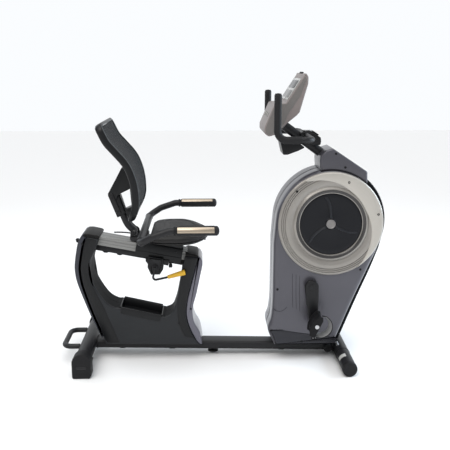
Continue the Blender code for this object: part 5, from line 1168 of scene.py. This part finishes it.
def make_console():
    """Neck cover, mast, clamp, handlebar, accessory tray and the console."""
    neck = slab("neck_look", neck_outline(), -NECK_FACE, NECK_FACE, POD, 0.0095, 6)
    piece(neck, "frame", "metallic_grey", "neck_cover")
    for name, sign in SIDES:
        for n, (x, z) in enumerate(((0.4835, 0.964), (0.5268, 0.9028))):
            screw(f"neck_screw_{name}_{n}", (x, sign * NECK_FACE, z), (0, sign, 0), RUBBER, 0.0055,
                  slot="metallic_grey")
    along = (MAST_HIGH - MAST_LOW).normalized()
    piece(tube("mast_look", [MAST_LOW, MAST_HIGH], 0.021, COAT, 48), "frame", "black_powder_coat", "mast")
    entry = MAST_LOW + along * 0.09
    collar = mm((21.3, -10), (34, -10), (33.5, 3.5), (30, 6.8), (24, 7.8), (21.3, 7))
    piece(turned("mast_collar", collar, entry, POD, 56, along, closed=True), "frame", "metallic_grey")
    clamp = rounded(mm((332, 1018), (384, 995), (420, 997), (424, 1012), (422, 1030), (392, 1051),
                       (340, 1056), (332, 1050)), 0.005)
    piece(slab("bar_clamp", clamp, -0.042, 0.042, COVER, 0.004, 4), "frame", "black_powder_coat")
    lid = rounded(mm((342, 1053.5), (386, 1050.5), (410, 1038.5), (414, 1043), (392, 1057.5),
                     (346, 1059)), 0.002)
    piece(slab("clamp_lid", lid, -0.034, 0.034, CAP, 0.002), "frame", "dark_cap_plastic")
    for n, (x, y) in enumerate(((0.357, -0.018), (0.357, 0.018), (0.379, -0.018), (0.379, 0.018))):
        screw(f"clamp_screw_{n}", (x, y, 1.058), (0.05, 0, 1), STEEL, 0.0048, slot="zinc_steel")

    half, x, z = 0.235, 0.358, 1.038
    corners = [(0.208, -half, 1.231), (0.208, -half, 1.0385), (x, -half, z), (x, half, z),
               (0.208, half, 1.0385), (0.208, half, 1.231)]
    path = bend(corners, 0.04, 12)
    piece(tube("console_bar_look", path, 0.0128, COAT, 28, (1, 0, 0)), "frame", "black_powder_coat",
          "console_handlebar")
    half_count = len(path) // 2
    for name, points in (("right", path[:half_count]), ("left", path[:half_count - 1:-1])):
        foam = points[:15]
        foam = [(foam[0][0], foam[0][1], 1.2325), *[(0.208, foam[0][1], 1.21 - 0.02 * i) for i in range(6)],
                *foam[1:]]
        piece(tube(f"console_grip_{name}_look", foam, 0.0158, FOAM, 36, (1, 0, 0), dome=True), "frame",
              "foam_grip", f"console_grip_{name}")

    tray_line = mm((240, 1010), (253, 956), (272, 956), (317, 972), (350, 988))
    outer = rounded([*tray_line, (0.326, 1.0055), (0.29, 1.008)], 0.004)
    inner = mm((244.5, 1012), (256, 960.5), (272, 960.5), (316, 976.5), (336, 987), (322, 1012))
    tray = slab("tray_look", outer, -0.06, 0.06, COVER, 0.003, 4)
    cut_away(tray, slab("tray_tool", rounded(inner, 0.003), -0.056, 0.056, COVER, 0.001, 2))
    piece(tray, "frame", "black_plastic", "accessory_tray")

    shell = mm((326, 1300), (252, 1186), (203, 1183), (161, 1085), (161, 1058), (180, 1044), (206, 1051),
               (258, 1101), (300, 1135), (312, 1148), (346, 1268), (347, 1296), (334, 1316))
    housing = slab("console_look", rounded(shell, 0.013, 8), -0.14, 0.14, CONSOLE, 0.0065, 5)
    piece(housing, "frame", "warm_grey_plastic", "console_housing")
    front = mm((329, 1302), (253, 1187), (204, 1184.5), (163.5, 1085), (163.5, 1060), (181, 1047.5),
               (204, 1054.5), (248, 1097.5), (264, 1139), (318, 1219), (340.5, 1285), (337, 1305.5))
    for name, sign in SIDES:
        shell_side = side_slab(f"console_front_{name}", rounded(inset(front, 0.003), 0.006), 0.138, 0.1416,
                               sign, CONSOLE_FACE, 0.0016, 3)
        piece(shell_side, "frame", "warm_grey_plastic")
    top, low = Vector((0.3182, 1.288)), Vector((0.26, 1.1983))
    slope = (low - top).normalized()
    out = Vector((slope.y, -slope.x))
    if out.x > 0:
        out = -out
    panel = [top + out * 0.0026, low + out * 0.0026, low - out * 0.004, top - out * 0.004]
    panel = rounded([tuple(p) for p in panel], 0.001, 2)
    piece(slab("console_screen_look", panel, -0.1215, 0.1215, SCREEN, 0.0015), "frame", "console_glass",
          "console_screen")
    for n, (a, b) in enumerate(((0.1, 0.46), (0.56, 0.9))):
        first, second = top.lerp(low, a), top.lerp(low, b)
        tile = [first + out * 0.0034, second + out * 0.0034, second + out * 0.001, first + out * 0.001]
        tile = [tuple(p) for p in tile]
        piece(slab(f"display_{n}", tile, -0.1, 0.1, WINDOW if n == 0 else BEZEL, 0.0008, 2), "frame",
              "console_glass")
    grille = rounded(mm((329, 1311), (335, 1308), (338.5, 1314), (333.5, 1317.5)), 0.001)
    piece(slab("console_grille", grille, -0.045, 0.045, RUBBER, 0.001, 2), "frame", "warm_grey_plastic")

    face_low, face_high = Vector((0.161, 1.085)), Vector((0.203, 1.183))
    up = (face_high - face_low).normalized()
    out = Vector((-up.y, up.x))
    middle = (face_low + face_high) / 2
    for index, y in enumerate((-0.06, 0.0, 0.06), 1):
        reach = up * 0.008
        key = [middle - reach - out * 0.002, middle + reach - out * 0.002, middle + reach + out * 0.0022,
               middle - reach + out * 0.0022]
        key = rounded([tuple(p) for p in key], 0.0012, 3)
        piece(slab(f"key_{index}_look", key, y - 0.015, y + 0.015, KEY, 0.0012, 3), f"key_{index}",
              "key_rubber", f"console_key_{index}")
        seat = [middle - up * 0.0105 - out * 0.002, middle + up * 0.0105 - out * 0.002,
                middle + up * 0.0105 + out * 0.0006, middle - up * 0.0105 + out * 0.0006]
        surround = slab(f"key_seat_{index}", [tuple(p) for p in seat], y - 0.0175, y + 0.0175,
                        BEZEL, 0.0004, 2)
        opening = [middle - up * 0.0086 - out * 0.009, middle + up * 0.0086 - out * 0.009,
                   middle + up * 0.0086 + out * 0.009, middle - up * 0.0086 + out * 0.009]
        cutter = slab("key_tool", [tuple(p) for p in opening], y - 0.0156, y + 0.0156, BEZEL, 0.0001, 1)
        cut_away(surround, cutter)
        piece(surround, "frame", "warm_grey_plastic")


# ---------------------------------------------------------------- stage
def light(name, spot, target, size, power, colour=(1, 1, 1)):
    """A square soft light aimed at a point."""
    lamp = bpy.data.lights.new(name, "AREA")
    lamp.size = size
    lamp.energy = power
    lamp.color = colour
    obj = bpy.data.objects.new(name, lamp)
    obj.location = spot
    obj.rotation_euler = (Vector(target) - Vector(spot)).to_track_quat("-Z", "Y").to_euler()
    bpy.context.scene.collection.objects.link(obj)


EYE = Vector((-0.101, -3.215, 1.342))
EYE_DOWN, EYE_TURN, EYE_LENS = 12.56, -1.72, 57.12
FLOOR_DROP = -0.0005


def make_stage():
    """Pale floor, soft daylight and the camera."""
    floor = bpy.data.meshes.new("floor")
    corners = [(x, y, FLOOR_DROP) for x, y in ((-12, -12), (12, -12), (12, 12), (-12, 12))]
    floor.from_pydata(corners, [], [(0, 1, 2, 3)])
    ground = bpy.data.objects.new("floor", floor)
    pale = bpy.data.materials.new("pale_floor")
    pale.use_nodes = True
    fill(pale.node_tree.nodes["Principled BSDF"], {"Base Color": (0.9, 0.9, 0.9, 1), "Roughness": 0.9})
    floor.materials.append(pale)
    bpy.context.scene.collection.objects.link(ground)
    world = bpy.data.worlds.new("studio")
    bpy.context.scene.world = world
    world.use_nodes = True
    tree = world.node_tree
    sky = tree.nodes["Background"]
    fill(sky, {"Color": (0.96, 0.98, 1.0, 1)})
    place = add_node(tree, "TexCoord")
    split = add_node(tree, "SeparateXYZ")
    behind = add_node(tree, "MapRange", {"From Min": 0.4, "From Max": 0.92, "To Min": 0.45, "To Max": 1.0})
    tree.links.new(place.outputs["Generated"], split.inputs[0])
    tree.links.new(split.outputs["Y"], behind.inputs["Value"])
    tree.links.new(behind.outputs["Result"], sky.inputs["Strength"])
    bpy.context.scene.view_settings.view_transform = "Standard"
    sun = bpy.data.lights.new("daylight", "SUN")
    sun.energy = 1.7
    sun.angle = radians(70)
    above = bpy.data.objects.new("daylight", sun)
    above.rotation_euler = (radians(14), radians(-8), 0)
    bpy.context.scene.collection.objects.link(above)
    light("key", (-1.2, -2.4, 3.2), (0, 0, 0.6), 2.0, 45, (1.0, 0.97, 0.93))
    light("window", (2.8, 0.2, 1.4), (0.3, 0, 0.5), 1.5, 62, (0.76, 0.88, 1.0))
    light("fill", (-2.6, 1.4, 1.8), (-0.3, 0, 0.5), 1.6, 16, (0.85, 0.92, 1.0))
    camera = bpy.data.cameras.new("camera")
    camera.sensor_width = 36
    camera.lens = EYE_LENS
    eye = bpy.data.objects.new("camera", camera)
    eye.location = EYE + SHIFT
    eye.rotation_euler = (radians(90 - EYE_DOWN), 0, radians(EYE_TURN))
    bpy.context.scene.collection.objects.link(eye)
    bpy.context.scene.camera = eye


make_base()
make_seat_support()
make_seat()
make_lever()
make_backrest()
make_drive()
make_pod()
make_console()
make_stage()
